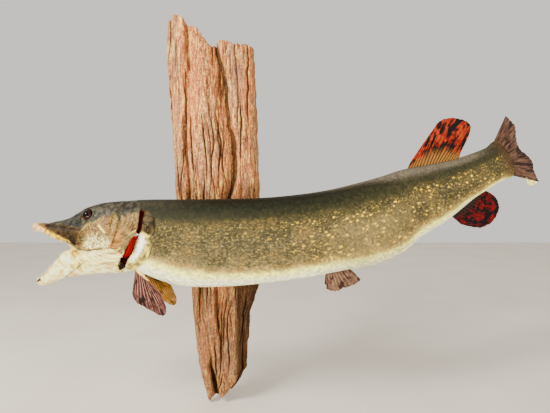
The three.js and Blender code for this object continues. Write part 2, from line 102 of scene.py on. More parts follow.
# Gill covers and chambers, as in the solids: degrees down from the back, station numbers.
COVER_ANGLES = np.array([42, 78, 92, 125, 172])
COVER_FRONT = np.array([1.28, 1.3, 1.1, 0.75, 0.5])
COVER_REAR = np.array([2.2, 2.28, 2.0, 1.55, 1.05])
COVER_SHELL, COVER_FLUSH, COVER_STAND_OFF = 3, 0.6, 6.5
CHAMBER_ANGLES = np.array([46, 80, 93, 115, 152])
CHAMBER_REAR = np.array([2.36, 2.36, 2.17, 1.98, 1.42])
CHAMBER_DEPTH = 9

EYE = {"x": -231, "z": -17, "inset": 22, "radius": 12.3}
COAT = 1.1  # depth of the skin under the solids' surface
SKIN_VOXEL = 2.4  # size of the steps that join the skin's bodies into one
FINE_SKIN_END = -90  # the skin's faces are split from the snout to here, as x
# The gill cover's torn tab, which meets the shoulder: how far it reaches, in stations, and where
# it lies down the cover and its half width, both as shares of the cover.
TAB_REACH, TAB_DOWN, TAB_WIDTH = 0.27, 0.415, 0.05
SCALE_ROWS = 38  # from the back to the belly on each side


def through(knots, t):
    """A smooth curve through evenly spaced knots, at t counted in knots."""
    knots = np.asarray(knots, float)
    last = len(knots) - 1
    t = np.asarray(t, float)
    i = np.clip(np.floor(t).astype(int), 0, last - 1)
    f = t - i
    a, b, c, d = (knots[np.clip(i + k, 0, last)] for k in (-1, 0, 1, 2))
    if knots.ndim == 2:
        f = f[..., None]
    return b + 0.5 * f * (c - a + f * (2 * a - 5 * b + 4 * c - d + f * (3 * (b - c) + d - a)))


def smooth(low, high, v):
    """0 at low, 1 at high and smooth between; it also runs downwards."""
    f = np.clip((v - low) / (high - low), 0, 1)
    return f * f * (3 - 2 * f)


def unit(vectors):
    """Vectors of length one along the last axis."""
    return vectors / np.linalg.norm(vectors, axis=-1, keepdims=True)


def unit_grid(rows, columns):
    """Two arrays that run from 0 to 1 down the rows and along the columns."""
    return np.meshgrid(np.linspace(0, 1, rows), np.linspace(0, 1, columns), indexing="ij")


def full_turn(count):
    """Angles evenly round a circle."""
    return np.linspace(0, 2 * np.pi, count, endpoint=False)


def head_y(x):
    """The mid-plane of the head, which swings towards the wall at the snout."""
    return -112 - 0.061 * (x + 346)


def lattice(x, y, seed):
    """Smooth noise between -1 and 1, with a period of one unit."""
    def corner(i, j):
        h = np.sin(i * 127.1 + j * 311.7 + seed * 74.7) * 43758.5453
        return 2 * (h - np.floor(h)) - 1

    i, j = np.floor(x), np.floor(y)
    u, v = smooth(0, 1, x - i), smooth(0, 1, y - j)
    low = corner(i, j) * (1 - u) + corner(i + 1, j) * u
    high = corner(i, j + 1) * (1 - u) + corner(i + 1, j + 1) * u
    return low * (1 - v) + high * v


# ---------------------------------------------------------------- trunk coordinates

def station(t):
    """Centre, half height vector, side direction and half width of the trunk at t."""
    v = through(TRUNK, t)
    back = np.stack([v[..., 0], v[..., 4], v[..., 1]], -1)
    belly = np.stack([v[..., 2], v[..., 4], v[..., 3]], -1)
    ahead = through(TRUNK, np.asarray(t) + 0.01)
    run_x = ahead[..., 0] + ahead[..., 2] - v[..., 0] - v[..., 2]
    run_y = 2 * (ahead[..., 4] - v[..., 4])
    side = unit(np.stack([-run_y, run_x, np.zeros_like(run_x)], -1))
    return (back + belly) / 2, (back - belly) / 2, side, v[..., 5]


def trunk_point(t, angle, out=0.0):
    """Points of the trunk's surface: the angle runs down from the back, in radians."""
    centre, up, side, half = station(t)
    tall = np.linalg.norm(up, axis=-1)
    c, s = np.cos(angle), np.sin(angle)
    rise = np.sign(c) * np.abs(c) ** (2 / BODY_POWER)
    spread = np.sign(s) * np.abs(s) ** (2 / BODY_POWER) * (1 - BELLY_PINCH * np.maximum(0, -c))
    return (centre + up * (rise * (1 + out / tall))[..., None]
            + side * (spread * (half + out))[..., None])


# The trunk's stations in fine steps, carried on in front of the first one by 60 mm a station,
# with the run along the body to each, in mm from station 1.
STATION_TABLE = np.linspace(-1.5, TRUNK_END, 741)
TABLE_CENTRE, TABLE_UP, TABLE_SIDE, TABLE_HALF = station(np.maximum(STATION_TABLE, 0))
TABLE_CENTRE = TABLE_CENTRE + np.minimum(STATION_TABLE, 0)[:, None] * [60.0, 0, 0]
TABLE_RUN = np.concatenate([[0], np.cumsum(
    np.linalg.norm(np.diff(TABLE_CENTRE, axis=0), axis=1))])
TABLE_RUN -= np.interp(1, STATION_TABLE, TABLE_RUN)


BATCH = 20000  # points placed at a time, to spare memory
COARSE = 8  # table rows to a step of the first, rough search
NEARBY = 90  # table rows either side of the rough find that the exact search may use


def body_place(points):
    """For points near the fish: the run along the body from the nape, the share of the way
    down from the back to the belly, and the girth covered by it. Run and girth are in metres."""
    normal = unit(np.cross(TABLE_UP, TABLE_SIDE))
    offset = np.sum(TABLE_CENTRE * normal, axis=1)
    nearest = np.empty(len(points), int)
    for start in range(0, len(points), BATCH):
        part = slice(start, start + BATCH)
        far = np.abs(points[part] @ normal.T - offset)
        apart = points[part][:, None, ::2] - TABLE_CENTRE[None, ::COARSE, ::2]
        rough = np.argmin(np.linalg.norm(apart, axis=2), axis=1) * COARSE
        shut_out = np.abs(np.arange(len(STATION_TABLE))[None] - rough[:, None]) > NEARBY
        nearest[part] = np.argmin(far + shut_out * 1e6, axis=1)
    away = points - TABLE_CENTRE[nearest]
    tall = np.linalg.norm(TABLE_UP[nearest], axis=1)
    high = np.sum(away * TABLE_UP[nearest], axis=1) / tall ** 2
    wide = np.sum(away * TABLE_SIDE[nearest], axis=1) / TABLE_HALF[nearest]
    down = np.arctan2(np.abs(wide), high) / np.pi
    girth = down * np.pi * np.sqrt((tall ** 2 + TABLE_HALF[nearest] ** 2) / 2)
    return np.stack([TABLE_RUN[nearest] * MM, down, girth * MM], 1)


def station_at(place):
    """The trunk's station at each place that body_place returns."""
    return np.interp(place[:, 0], TABLE_RUN * MM, STATION_TABLE)


# ---------------------------------------------------------------- mesh making

def recalculate_outside(mesh):
    """Turns all faces outwards."""
    b = bmesh.new()
    b.from_mesh(mesh)
    bmesh.ops.recalc_face_normals(b, faces=b.faces)
    b.to_mesh(mesh)
    b.free()


def make_piece(name, points, faces, slot, replaces=(), smooth_shade=True):
    """A mesh piece from points in mm that rides on the body; its slot is not used."""
    mesh = bpy.data.meshes.new(name)
    mesh.from_pydata((np.asarray(points) * MM).tolist(), [], [list(map(int, f)) for f in faces])
    mesh.validate()
    piece = bpy.data.objects.new(name, mesh)
    bpy.context.scene.collection.objects.link(piece)
    mesh.polygons.foreach_set("use_smooth", [smooth_shade] * len(mesh.polygons))
    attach(piece, "root")
    if replaces:
        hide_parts(*replaces)
    recalculate_outside(mesh)
    return piece


def set_values(mesh, name, values):
    """Stores a number or a vector for each vertex."""
    values = np.asarray(values, np.float32)
    kind, key = ("FLOAT", "value") if values.ndim == 1 else ("FLOAT_VECTOR", "vector")
    layer = mesh.attributes.new(name, kind, "POINT")
    layer.data.foreach_set(key, values.ravel())


def read_vectors(items, key):
    """The vector of that name of every item of a mesh's list, one to a row."""
    values = np.empty(len(items) * 3, np.float32)
    items.foreach_get(key, values)
    return values.reshape(-1, 3).astype(float)


def mesh_points(mesh):
    """The mesh's vertices, in mm."""
    return read_vectors(mesh.vertices, "co") / MM


def mesh_normals(mesh):
    """The mesh's normals at its vertices."""
    return read_vectors(mesh.vertex_normals, "vector")


def grid_faces(rows, columns, first=0, wrap=False, flip=False):
    """Quads of a grid whose points are stored row by row."""
    i, j = np.meshgrid(np.arange(rows - 1), np.arange(columns if wrap else columns - 1),
                       indexing="ij")
    k = (j + 1) % columns
    quads = np.stack([i * columns + j, i * columns + k, (i + 1) * columns + k,
                      (i + 1) * columns + j], -1).reshape(-1, 4) + first
    return quads[:, ::-1] if flip else quads


def closed_loft(rings):
    """Points and faces of a closed body through rings of equal size (rows, columns, 3)."""
    rows, columns = rings.shape[:2]
    points = rings.reshape(-1, 3)
    faces = grid_faces(rows, columns, wrap=True).tolist()
    faces += [list(range(columns))[::-1], list(range((rows - 1) * columns, rows * columns))]
    return points, faces


def closed_slab(front, back):
    """Points and faces of a closed body between two grids of equal size."""
    rows, columns = front.shape[:2]
    count = rows * columns
    points = np.concatenate([front.reshape(-1, 3), back.reshape(-1, 3)])
    border = ([(0, j) for j in range(columns - 1)]
              + [(i, columns - 1) for i in range(rows - 1)]
              + [(rows - 1, j) for j in range(columns - 1, 0, -1)]
              + [(i, 0) for i in range(rows - 1, 0, -1)])
    loop = [i * columns + j for i, j in border]
    faces = grid_faces(rows, columns).tolist()
    faces += grid_faces(rows, columns, count, flip=True).tolist()
    for a, b in zip(loop, loop[1:] + loop[:1]):
        faces.append([b, a, a + count, b + count])
    return points, faces


# ---------------------------------------------------------------- the skin

def mirrored(x, half):
    """A smooth closed section from knots (width, height) of its right half."""
    knots = half + [(-w, z) for w, z in half[-2:0:-1]]
    count = len(knots)
    wrapped = np.array([knots[(k - 1) % count] for k in range(count + 3)])
    around = 1 + np.arange(count * 5) / 5
    ring = through(wrapped, around)
    return np.stack([np.full(len(ring), x), head_y(x) + ring[:, 0], ring[:, 1]], 1)


def upper_wall(lip):
    """Thickness of the upper lip, thinner where the snout is narrow."""
    return min(LIP, lip * 0.2)


def lower_wall(half):
    """Thickness of the lower lip, thinner where the jaw is narrow."""
    return min(LIP, half * 0.35)


def upper_section(t):
    """A section of the upper head, from the roof round the lip to the palate."""
    x, roof, crown, level, half, edge, lip, palate = through(HEAD, t)
    roof, half, edge, palate = roof - COAT, half - COAT, edge + 0.6, palate + COAT
    crown, lip = crown - 0.5, lip - COAT
    return mirrored(x, [
        (0, roof - 1.2 * smooth(-335, -300, x)),
        (crown * 0.6, roof - 0.2),
        (crown, roof + (level - roof) * 0.1),
        ((crown + half) / 2 + 1, roof + (level - roof) * 0.48),
        (half, level),
        ((half + lip) / 2, level + (edge - level) * 0.6),
        (lip, edge),
        (lip - upper_wall(lip), edge + 1),
        (lip * 0.66, palate - 1),
        (lip * 0.35, palate + 1),
        (0, palate + 2),
    ])


def lower_section(t):
    """A section of the lower jaw and throat, from the mouth's floor round to the chin."""
    x, lip, chin, half, floor = through(LOWER, t)
    lip, chin, half, floor = lip - 0.6, chin + COAT, half - COAT, floor - COAT
    wall = lower_wall(half)
    return mirrored(x, [
        (0, floor),
        ((half - wall) * 0.6, floor + 1),
        (half - wall - 1, (floor + lip) / 2),
        (half - wall, lip - 0.5),
        (half - wall / 2, lip),
        (half, lip - 1),
        (half * 1.02, (lip + chin) / 2 + 2),
        (half * 0.72, chin + 5),
        (half * 0.3, chin + 0.6),
        (0, chin),
    ])


def cover_bulge(along, down):
    """How far a gill cover stands off the trunk, flush in front."""
    return COVER_FLUSH + COVER_STAND_OFF * along ** 1.5 * np.sin(
        np.pi * np.clip(down * 0.9 + 0.12, 0, 1))


def cover_grid(side, sink):
    """One face of a gill cover as a grid, sunk by so many mm."""
    down, along = unit_grid(90, 60)
    knot = down * (len(COVER_ANGLES) - 1)
    angle = side * np.radians(through(COVER_ANGLES, knot))
    front, rear = through(COVER_FRONT, knot), through(COVER_REAR, knot)
    rear = rear + 0.02 * lattice(down * 18, along * 0, 3) * smooth(0.3, 0.5, down)
    rear = rear + TAB_REACH * np.exp(-((down - TAB_DOWN) / TAB_WIDTH) ** 2)
    out = cover_bulge(along, down) - 0.4 - sink
    return trunk_point(front + (rear - front) * along, angle, out)


def trunk_rings():
    """The trunk's surface, with the gill chambers sunk into its front."""
    t = np.linspace(0.93, TRUNK_END, 330)
    tt, aa = np.meshgrid(t, full_turn(120), indexing="ij")
    degrees = np.degrees(np.where(aa > np.pi, 2 * np.pi - aa, aa))
    rear = np.interp(degrees, CHAMBER_ANGLES, CHAMBER_REAR)
    inside = (smooth(rear + 0.01, rear - 0.05, tt) * smooth(1.02, 1.1, tt)
              * smooth(CHAMBER_ANGLES[0] - 3, CHAMBER_ANGLES[0] + 3, degrees)
              * smooth(CHAMBER_ANGLES[-1] + 4, CHAMBER_ANGLES[-1] - 6, degrees))
    signed = np.where(aa > np.pi, aa - 2 * np.pi, aa)
    return trunk_point(tt, signed, -COAT - CHAMBER_DEPTH * inside)


def join_closed(bodies):
    """Points and faces of several bodies as one list of each."""
    points, faces, first = [], [], 0
    for body_points, body_faces in bodies:
        points.append(body_points)
        faces += [[v + first for v in face] for face in body_faces]
        first += len(body_points)
    return np.concatenate(points), faces


# Creases and ridges of the head's sides, in side view: a path (x, z), half width, height, and
# how dark or pale it is drawn, all in mm and shares. The dark is dark marking with painted shade
# in the creases; the pale is pale marking with painted highlight on the ridges.
CREASES = {
    "preopercle": ([(-162, -1), (-171, -6), (-173, -12), (-166, -20), (-164, -26), (-167, -35),
                    (-170, -48), (-175, -65), (-180, -76)], 1.6, -1.4, 0.75, 0),
    "preopercle ridge": ([(-176, -8), (-173, -22), (-175, -40), (-180, -56), (-188, -68)],
                         3.4, 1.0, 0, 0.10),
    "opercle front": ([(-160, -16), (-157, -30), (-161, -46), (-168, -64)], 3.0, 0.8, 0, 0.06),
    "cheek bottom": ([(-240, -80), (-226, -81), (-213, -78.5), (-192, -77)], 1.3, -2.0, 0.8, 0),
    "maxilla rear": ([(-272, -64), (-259, -70.5), (-247, -78), (-238, -81)], 1.7, -1.8, 0.95, 0),
    "maxilla bone": ([(-266, -69), (-256, -74), (-247, -79)], 1.8, 1.2, 0, 0.9),
    "snout groove": ([(-292, -35), (-275, -37), (-255, -41), (-241, -44.5)], 1.8, -1.4, 0.6, 0),
    "snout ridge": ([(-312, -31), (-285, -30), (-262, -25), (-246, -17)], 3.0, 1.1, 0, 0.01),
    "lip edge": ([(-322, -37), (-300, -47), (-281, -56), (-264, -63)], 1.8, -0.8, 0.35, 0),
    "brow": ([(-246, -8), (-236, -3), (-226, -2), (-214, -6)], 2.6, 1.5, 0.2, 0),
    "eye groove": ([(-262, -36), (-250, -33), (-240, -27)], 3.0, -1.6, 0.4, 0),
    "roof edge": ([(-238, -45), (-229, -34), (-209, -27), (-202, -19)], 2.0, 0.9, 0, 0.15),
    "brow line": ([(-214, -11), (-203, -6), (-191, -1)], 1.4, 0.7, 0, 0.03),
    # The slit end's dark line is painted shade in the gill slit.
    "slit end": ([(-158, -96), (-161, -103), (-164, -110), (-167, -116)], 3.0, -3.0, 1.0, 0),
    "roof fold": ([(-205, 1), (-180, 6), (-150, 6), (-128, 3)], 2.0, -0.7, 0.2, 0),
    "cheek scar": ([(-206, -33), (-198, -41), (-190, -49)], 1.6, 0.5, 0, 1.0),
    "cheek fold": ([(-236, -52), (-224, -60), (-214, -72)], 3.5, -0.8, 0.3, 0),
    "cheek line": ([(-182, -52), (-192, -60), (-202, -66)], 1.2, -0.7, 0.5, 0),
    "cover tear": ([(-141, -44), (-135, -41), (-130, -38)], 1.3, -1.2, 0.95, 0),
    "cover tear edge": ([(-145, -50), (-137, -46), (-128, -42)], 1.8, 0.8, 0, 0.3),
    "cover fold": ([(-131, -47), (-141, -54), (-151, -65), (-158, -80)], 1.8, -0.8, 0.3, 0.1),
    "shoulder": ([(-103, -9), (-99, -24), (-96.5, -43), (-106, -58), (-101, -69), (-107, -86),
                  (-112, -98)], 1.7, -1.8, 0.85, 0),
    "shoulder bone": ([(-118, -50), (-116, -66), (-124, -83), (-139, -101)], 6.0, 1.6, 0, 0),
    "shoulder rim": ([(-109, -56), (-108, -70), (-115, -88), (-130, -104)], 2.0, -0.9, 0.25, 0),
    "jaw groove": ([(-283, -138), (-275, -132), (-251, -116), (-240, -108), (-221, -96)],
                   1.6, -1.5, 0.6, 0),
    "jaw keel": ([(-322, -146), (-300, -138), (-275, -127), (-254, -113)], 4.5, 1.0, 0, 0.05),
    "jaw side": ([(-300, -121), (-280, -107), (-262, -97), (-246, -94)], 4.0, -1.0, 0.12, 0),
    "jaw corner": ([(-266, -76), (-258, -88), (-262, -98)], 3.5, 1.2, 0, 0.1),
    "corner skin": ([(-262, -73), (-250, -82), (-240, -90)], 2.2, 0.9, 0, 0),
    "gill ray 1": ([(-230, -90), (-210, -88), (-190, -82), (-168, -80), (-157, -72)], 1.6, 0.8, 0, 0.4),
    "gill ray 2": ([(-226, -97), (-206, -96), (-190, -90), (-172, -90), (-159, -83)], 1.6, 0.8, 0, 0.4),
    "gill ray 3": ([(-222, -105), (-204, -104), (-188, -98), (-173, -98), (-161, -93)], 1.6, 0.8, 0, 0.4),
    "gill ray 4": ([(-218, -114), (-202, -113), (-188, -108), (-174, -107), (-162, -102)], 1.6, 0.8, 0, 0.4),
    "gill ray 5": ([(-212, -122), (-198, -121), (-184, -117), (-166, -112)], 1.6, 0.7, 0, 0.3),
    "gill web": ([(-226, -93), (-208, -92), (-190, -86), (-170, -85), (-158, -78)], 1.4, -0.7, 0.3, 0),
    "gill web low": ([(-220, -109), (-203, -108), (-188, -103), (-174, -102), (-161, -98)],
                     1.4, -0.7, 0.3, 0),
}
# Folds of the gill cover and its skin curve round this point of the cheek.
FOLD_CENTRE = (-172, -20)


def line_distance(x, z, path):
    """Distance in side view to a line of points, and the place along it from 0 to 1."""
    best, place = np.full(len(x), 1e9), np.zeros(len(x))
    path = np.array(path, float)
    for i, (a, b) in enumerate(zip(path[:-1], path[1:])):
        run = b - a
        f = np.clip(((x - a[0]) * run[0] + (z - a[1]) * run[1]) / (run @ run), 0, 1)
        far = np.hypot(x - a[0] - f * run[0], z - a[1] - f * run[1])
        place = np.where(far < best, (i + f) / (len(path) - 1), place)
        best = np.minimum(best, far)
    return best, place


def outline_depth(x, z, outline):
    """How deep a point lies inside a closed outline in side view, negative outside."""
    path = outline + outline[:1]
    far, _ = line_distance(x, z, path)
    inside = np.zeros(len(x), bool)
    for (ax, az), (bx, bz) in zip(path[:-1], path[1:]):
        crosses = (az > z) != (bz > z)
        at = ax + (z - az) * (bx - ax) / (bz - az if bz != az else 1e-9)
        inside ^= crosses & (x < at)
    return np.where(inside, far, -far)


# Markings of the head's sides, in the order they are laid: an outline in side view (x, z), how
# soft its edge is, how far the edge wavers, the two colours it is mottled with, blotches a
# metre, and whether its mottling follows the folds.
MARKS = {
    "pale_jaw": ([(-360, -82), (-270, -70), (-243, -80), (-226, -82), (-192, -78), (-172, -76),
                  (-158, -72), (-150, -92), (-140, -100), (-150, -170), (-360, -170)],
                 2.0, 3.0, (216, 202, 162), (242, 234, 206), 90, False),
    "jaw_yellow": ([(-256, -97), (-221, -92), (-215, -102), (-232, -112), (-262, -116)],
                   5.0, 8.0, (206, 190, 142), (236, 226, 186), 90, False),
    "gill_skin": ([(-224, -92), (-190, -80), (-160, -80), (-160, -106), (-180, -116), (-214, -110)],
                  5.0, 6.0, (206, 184, 122), (244, 234, 198), 60, True),
    "jaw_orange": ([(-266, -72), (-244, -80), (-240, -88), (-252, -94), (-262, -88)],
                   3.0, 6.0, (160, 124, 74), (222, 204, 156), 160, False),
    # Painted shade of the mouth's hollow, at the lower jaw's tip.
    "jaw_hollow_shade": ([(-348, -134), (-329, -135), (-326, -140), (-335, -143.5), (-346, -147)],
                   1.0, 2.0, (58, 40, 28), (100, 74, 50), 150, False),
    "cream_cheek": ([(-229, -58), (-206, -51), (-186, -58), (-176, -66), (-182, -76), (-217, -80),
                     (-236, -79), (-236, -66)],
                    8.0, 14.0, (172, 138, 96), (236, 220, 192), 260, False),
    "cover": ([(-166, -14), (-154, -8), (-124, -9), (-118, -28), (-118, -50), (-145, -60),
               (-153, -74), (-157, -86), (-171, -80), (-180, -76), (-175, -62), (-169, -45),
               (-164, -28)], 2.0, 4.0, (110, 80, 46), (194, 160, 104), 90, True),
    "cover_orange": ([(-168, -42), (-158, -44), (-158, -62), (-168, -76), (-184, -76), (-178, -60)],
                     4.0, 8.0, (152, 106, 56), (210, 166, 102), 110, True),
    "shoulder_yellow": ([(-121, -44), (-104, -52), (-102, -68), (-107, -88), (-120, -104),
                         (-140, -116), (-162, -116), (-142, -95), (-126, -70)],
                        3.0, 5.0, (158, 142, 92), (222, 212, 168), 90, False),
    "shoulder_white": ([(-126, -49), (-118, -51), (-114, -64), (-121, -80), (-134, -95),
                        (-143, -103), (-139, -91), (-130, -76), (-126, -61)],
                       3.5, 5.0, (230, 228, 214), (248, 250, 248), 80, False),
    "shoulder_olive": ([(-128, -5), (-102, -8), (-97, -41), (-107, -53), (-118, -46), (-127, -40)],
                       3.0, 4.0, (58, 42, 20), (118, 96, 52), 100, False),
    "roof": ([(-345, -26), (-329, -29), (-312, -31), (-292, -35.5), (-263, -38.5), (-247, -42.5),
              (-238, -45), (-229, -34), (-209, -27), (-202, -19), (-179, -17), (-171, -19),
              (-167, -27), (-159, -18), (-143, -12), (-124, -10), (-100, 2), (-96, 40), (-345, 40)],
             3.5, 7.0, (64, 60, 49), (110, 103, 85), 110, False),
    "band_end": ([(-262, -40), (-244, -42), (-230, -48), (-229, -62), (-238, -76), (-250, -72)],
                 6.0, 9.0, (92, 74, 44), (156, 124, 80), 140, False),
    "brown_band": ([(-326, -31), (-312, -30), (-292, -33), (-265, -37), (-252, -40), (-243, -47),
                    (-244, -62), (-250, -70), (-263, -64), (-279, -57), (-298, -47), (-315, -38)],
                   3.5, 6.0, (46, 36, 22), (104, 82, 48), 120, False),
    "golden_lip": ([(-322, -38), (-298, -48.5), (-280, -57), (-263, -64), (-260, -74), (-290, -70),
                    (-320, -54)], 1.0, 1.5, (190, 146, 78), (238, 210, 146), 140, False),
    # A painted shadow in the mouth's corner.
    "mouth_corner_shadow": ([(-265, -60), (-256, -61), (-248, -70), (-252, -72), (-259, -68)],
                    0.8, 1.5, (34, 22, 14), (66, 44, 28), 140, False),
    # Painted shade at the lower end of the gill slit.
    "slit_end_shade": ([(-162, -94), (-151, -94), (-154, -104), (-161, -114), (-168, -118),
                  (-168, -108), (-165, -100)], 0.8, 1.5, (26, 14, 9), (52, 32, 22), 150, False),
    "snout_grey": ([(-316, -30), (-290, -22), (-262, -10), (-250, -12), (-240, -30), (-250, -38),
                    (-268, -35), (-295, -32)], 4.0, 6.0, (42, 42, 38), (94, 94, 86), 130, False),
    "snout_tip": ([(-356, -30), (-344, -30), (-334, -33), (-322, -39), (-315, -45), (-322, -56),
                   (-356, -54)], 2.0, 4.0, (206, 158, 130), (236, 208, 182), 200, False),
}


def build_skin():
    """One skin over head, jaws, throat, gill covers and trunk, with no seam between them."""
    uppers = np.stack([upper_section(t) for t in np.linspace(0, len(HEAD) - 1, 110)])
    lowers = np.stack([lower_section(t) for t in np.linspace(0, len(LOWER) - 1, 100)])
    bodies = [closed_loft(uppers), closed_loft(lowers), closed_loft(trunk_rings())]
    for _, side in SIDES:
        grids = cover_grid(side, 0), cover_grid(side, COVER_SHELL - 0.6)
        bodies.append(closed_slab(*grids))
    points, faces = join_closed(bodies)
    skin = make_piece("skin", points, faces, "body_skin", replaces=[
        "upper_jaw", "head", "lower_jaw", "throat", "gill_cover_left", "gill_cover_right",
        "trunk_front", "trunk_middle", "trunk_rear", "tail_stalk"])
    remesh(skin, SKIN_VOXEL)
    refine_head(skin.data)
    relax(skin, 2)
    sculpt_head(skin.data)
    store_places(skin.data)
    skin.data.polygons.foreach_set("use_smooth", [True] * len(skin.data.polygons))
    return skin


def apply_modifiers(piece):
    """Makes what the modifiers show the piece's own mesh."""
    depsgraph = bpy.context.evaluated_depsgraph_get()
    mesh = bpy.data.meshes.new_from_object(piece.evaluated_get(depsgraph))
    piece.modifiers.clear()
    piece.data = mesh


def remesh(piece, voxel):
    """Joins the overlapping bodies of a piece into one surface."""
    modifier = piece.modifiers.new("union", "REMESH")
    modifier.mode = "VOXEL"
    modifier.voxel_size = voxel * MM
    apply_modifiers(piece)


def refine_head(mesh):
    """Splits the head's faces, whose detail is the finest."""
    b = bmesh.new()
    b.from_mesh(mesh)
    edges = [e for e in b.edges if max(v.co.x for v in e.verts) < FINE_SKIN_END * MM]
    bmesh.ops.subdivide_edges(b, edges=edges, cuts=1, use_grid_fill=True)
    b.to_mesh(mesh)
    b.free()


def relax(piece, rounds):
    """Smooths away the steps that the remesh leaves."""
    modifier = piece.modifiers.new("relax", "SMOOTH")
    modifier.factor = 0.5
    modifier.iterations = rounds
    apply_modifiers(piece)


def eye_centre(side):
    """The middle of the eye on that side, as in the solids."""
    return np.array([EYE["x"], head_y(EYE["x"]) + side * EYE["inset"], EYE["z"]])


def sculpt_head(mesh):
    """Presses the creases and raises the ridges, and opens the eye sockets and nostrils."""
    points = mesh_points(mesh)
    normals = mesh_normals(mesh)
    x, z = points[:, 0], points[:, 2]
    away = points[:, 1] - head_y(x)
    outer = smooth(0.12, 0.45, np.abs(normals[:, 1])) * (away * normals[:, 1] > 0)
    height = np.zeros(len(points))
    for path, width, tall, _, _ in CREASES.values():
        far, place = line_distance(x, z, path)
        ends = smooth(0, 0.12, place) * smooth(1, 0.88, place)
        height += tall * np.exp(-(far / width) ** 2) * (0.35 + 0.65 * ends)
    height *= outer
    for side in (LEFT, RIGHT):
        outward = np.array([0, side * 0.94, 0.34])
        from_eye = points - eye_centre(side)
        along = from_eye @ outward
        ring = np.linalg.norm(from_eye - along[:, None] * outward, axis=1)
        near = along > 0
        height += near * 1.5 * np.exp(-((ring - 12.2) / 1.9) ** 2)
        height -= near * 3.5 * smooth(11.2, 9.2, ring)
        for dx, dz in ((-22, -4), (-27, -5)):
            far = np.hypot(x - EYE["x"] - dx, z - EYE["z"] - dz)
            height -= (away * side > 0) * outer * 1.8 * np.exp(-(far / 1.8) ** 2)
    fold = np.hypot(x - FOLD_CENTRE[0], z - FOLD_CENTRE[1])
    folds = 0.3 * np.sin(fold / 0.9 + 1.5 * lattice(x / 14, z / 14, 6))
    folds *= smooth(-178, -160, x) * smooth(-6, -14, z)
    bumps = lattice(x / 11, z / 9, 5) * 0.4
    height += (bumps + folds) * outer * smooth(-105, -128, x)
    points += normals * height[:, None]
    mesh.vertices.foreach_set("co", (points * MM).astype(np.float32).ravel())
    mesh.update()


def store_places(mesh):
    """Stores what the skin's colours need: each vertex's place on the body, how deep it lies in
    each marking, the dark and pale lines with their painted crease shade and ridge highlights, the
    folds and the linings."""
    points = mesh_points(mesh)
    x, y, z = points.T
    set_values(mesh, "place", body_place(points))
    for name, (outline, *_) in MARKS.items():
        set_values(mesh, name, outline_depth(x, z, outline))
    # Dark lines: dark marks and painted shade in the creases. Pale lines: pale marks and painted highlights
    # on the ridges.
    dark, pale = np.zeros(len(points)), np.zeros(len(points))
    for path, width, _, dark_and_shade_share, pale_and_highlight_share in CREASES.values():
        far, along = line_distance(x, z, path)
        line = np.exp(-(far / width) ** 2) * smooth(0, 0.1, along) * smooth(1, 0.9, along)
        dark = np.maximum(dark, dark_and_shade_share * line)
        pale = np.maximum(pale, pale_and_highlight_share * line)
    set_values(mesh, "dark_line_and_crease_shade", dark)
    set_values(mesh, "pale_line_and_ridge_highlight", pale)
    from_centre = x - FOLD_CENTRE[0], z - FOLD_CENTRE[1]
    turn = np.arctan2(from_centre[1], from_centre[0])
    set_values(mesh, "fold", np.stack([np.hypot(*from_centre) * MM, turn, y * MM], 1))
    normals = mesh_normals(mesh)
    away = y - head_y(x)
    half = np.interp(x, HEAD[:, 0], HEAD[:, 4])
    deep = smooth(half - 3, half - 9, np.abs(away)) * (z > -146) * (z < -30) * (x < -165)
    inner = (away * normals[:, 1] < 0) | ((normals[:, 2] < -0.2) & (z > -75))
    inner |= (normals[:, 2] > 0.2) & (z < -78)
    set_values(mesh, "mouth", deep * inner)
    set_values(mesh, "chamber", trunk_sink(points))


def trunk_sink(points):
    """How far points lie under the trunk's own surface inside a gill chamber, in mm."""
    t = station_at(body_place(points))
    centre, up, across, half = station(np.maximum(t, 0.6))
    away = points - centre
    high = np.sum(away * up, axis=1) / np.sum(up * up, axis=1)
    wide = np.abs(np.sum(away * across, axis=1)) / half
    radius = (np.abs(high) ** BODY_POWER + np.abs(wide) ** BODY_POWER) ** (1 / BODY_POWER)
    inside = (t > 1.3) & (t < 2.5)
    return np.where(inside, np.maximum(0, (1 - radius) * half - 2.5), 0)


# ---------------------------------------------------------------- shader nodes

def rgb(red, green, blue):
    """The base colour that looks like this display colour, 0 to 255, in the studio's light.
    The view greys bright colours and lifts dark ones, so both are set back here."""
    c = np.array([red, green, blue]) / 255
    seen = np.where(c <= 0.04045, c / 12.92, ((c + 0.055) / 1.055) ** 2.4)
    seen = seen.mean() + 0.44 * (seen - seen.mean())
    base = 0.243 * (seen / 0.465) ** np.where(seen < 0.465, 1.31, 2.9)
    base = base.mean() + 2.07 * (base - base.mean())
    return (*(float(v) for v in np.clip(base, 0.001, 0.92)), 1.0)


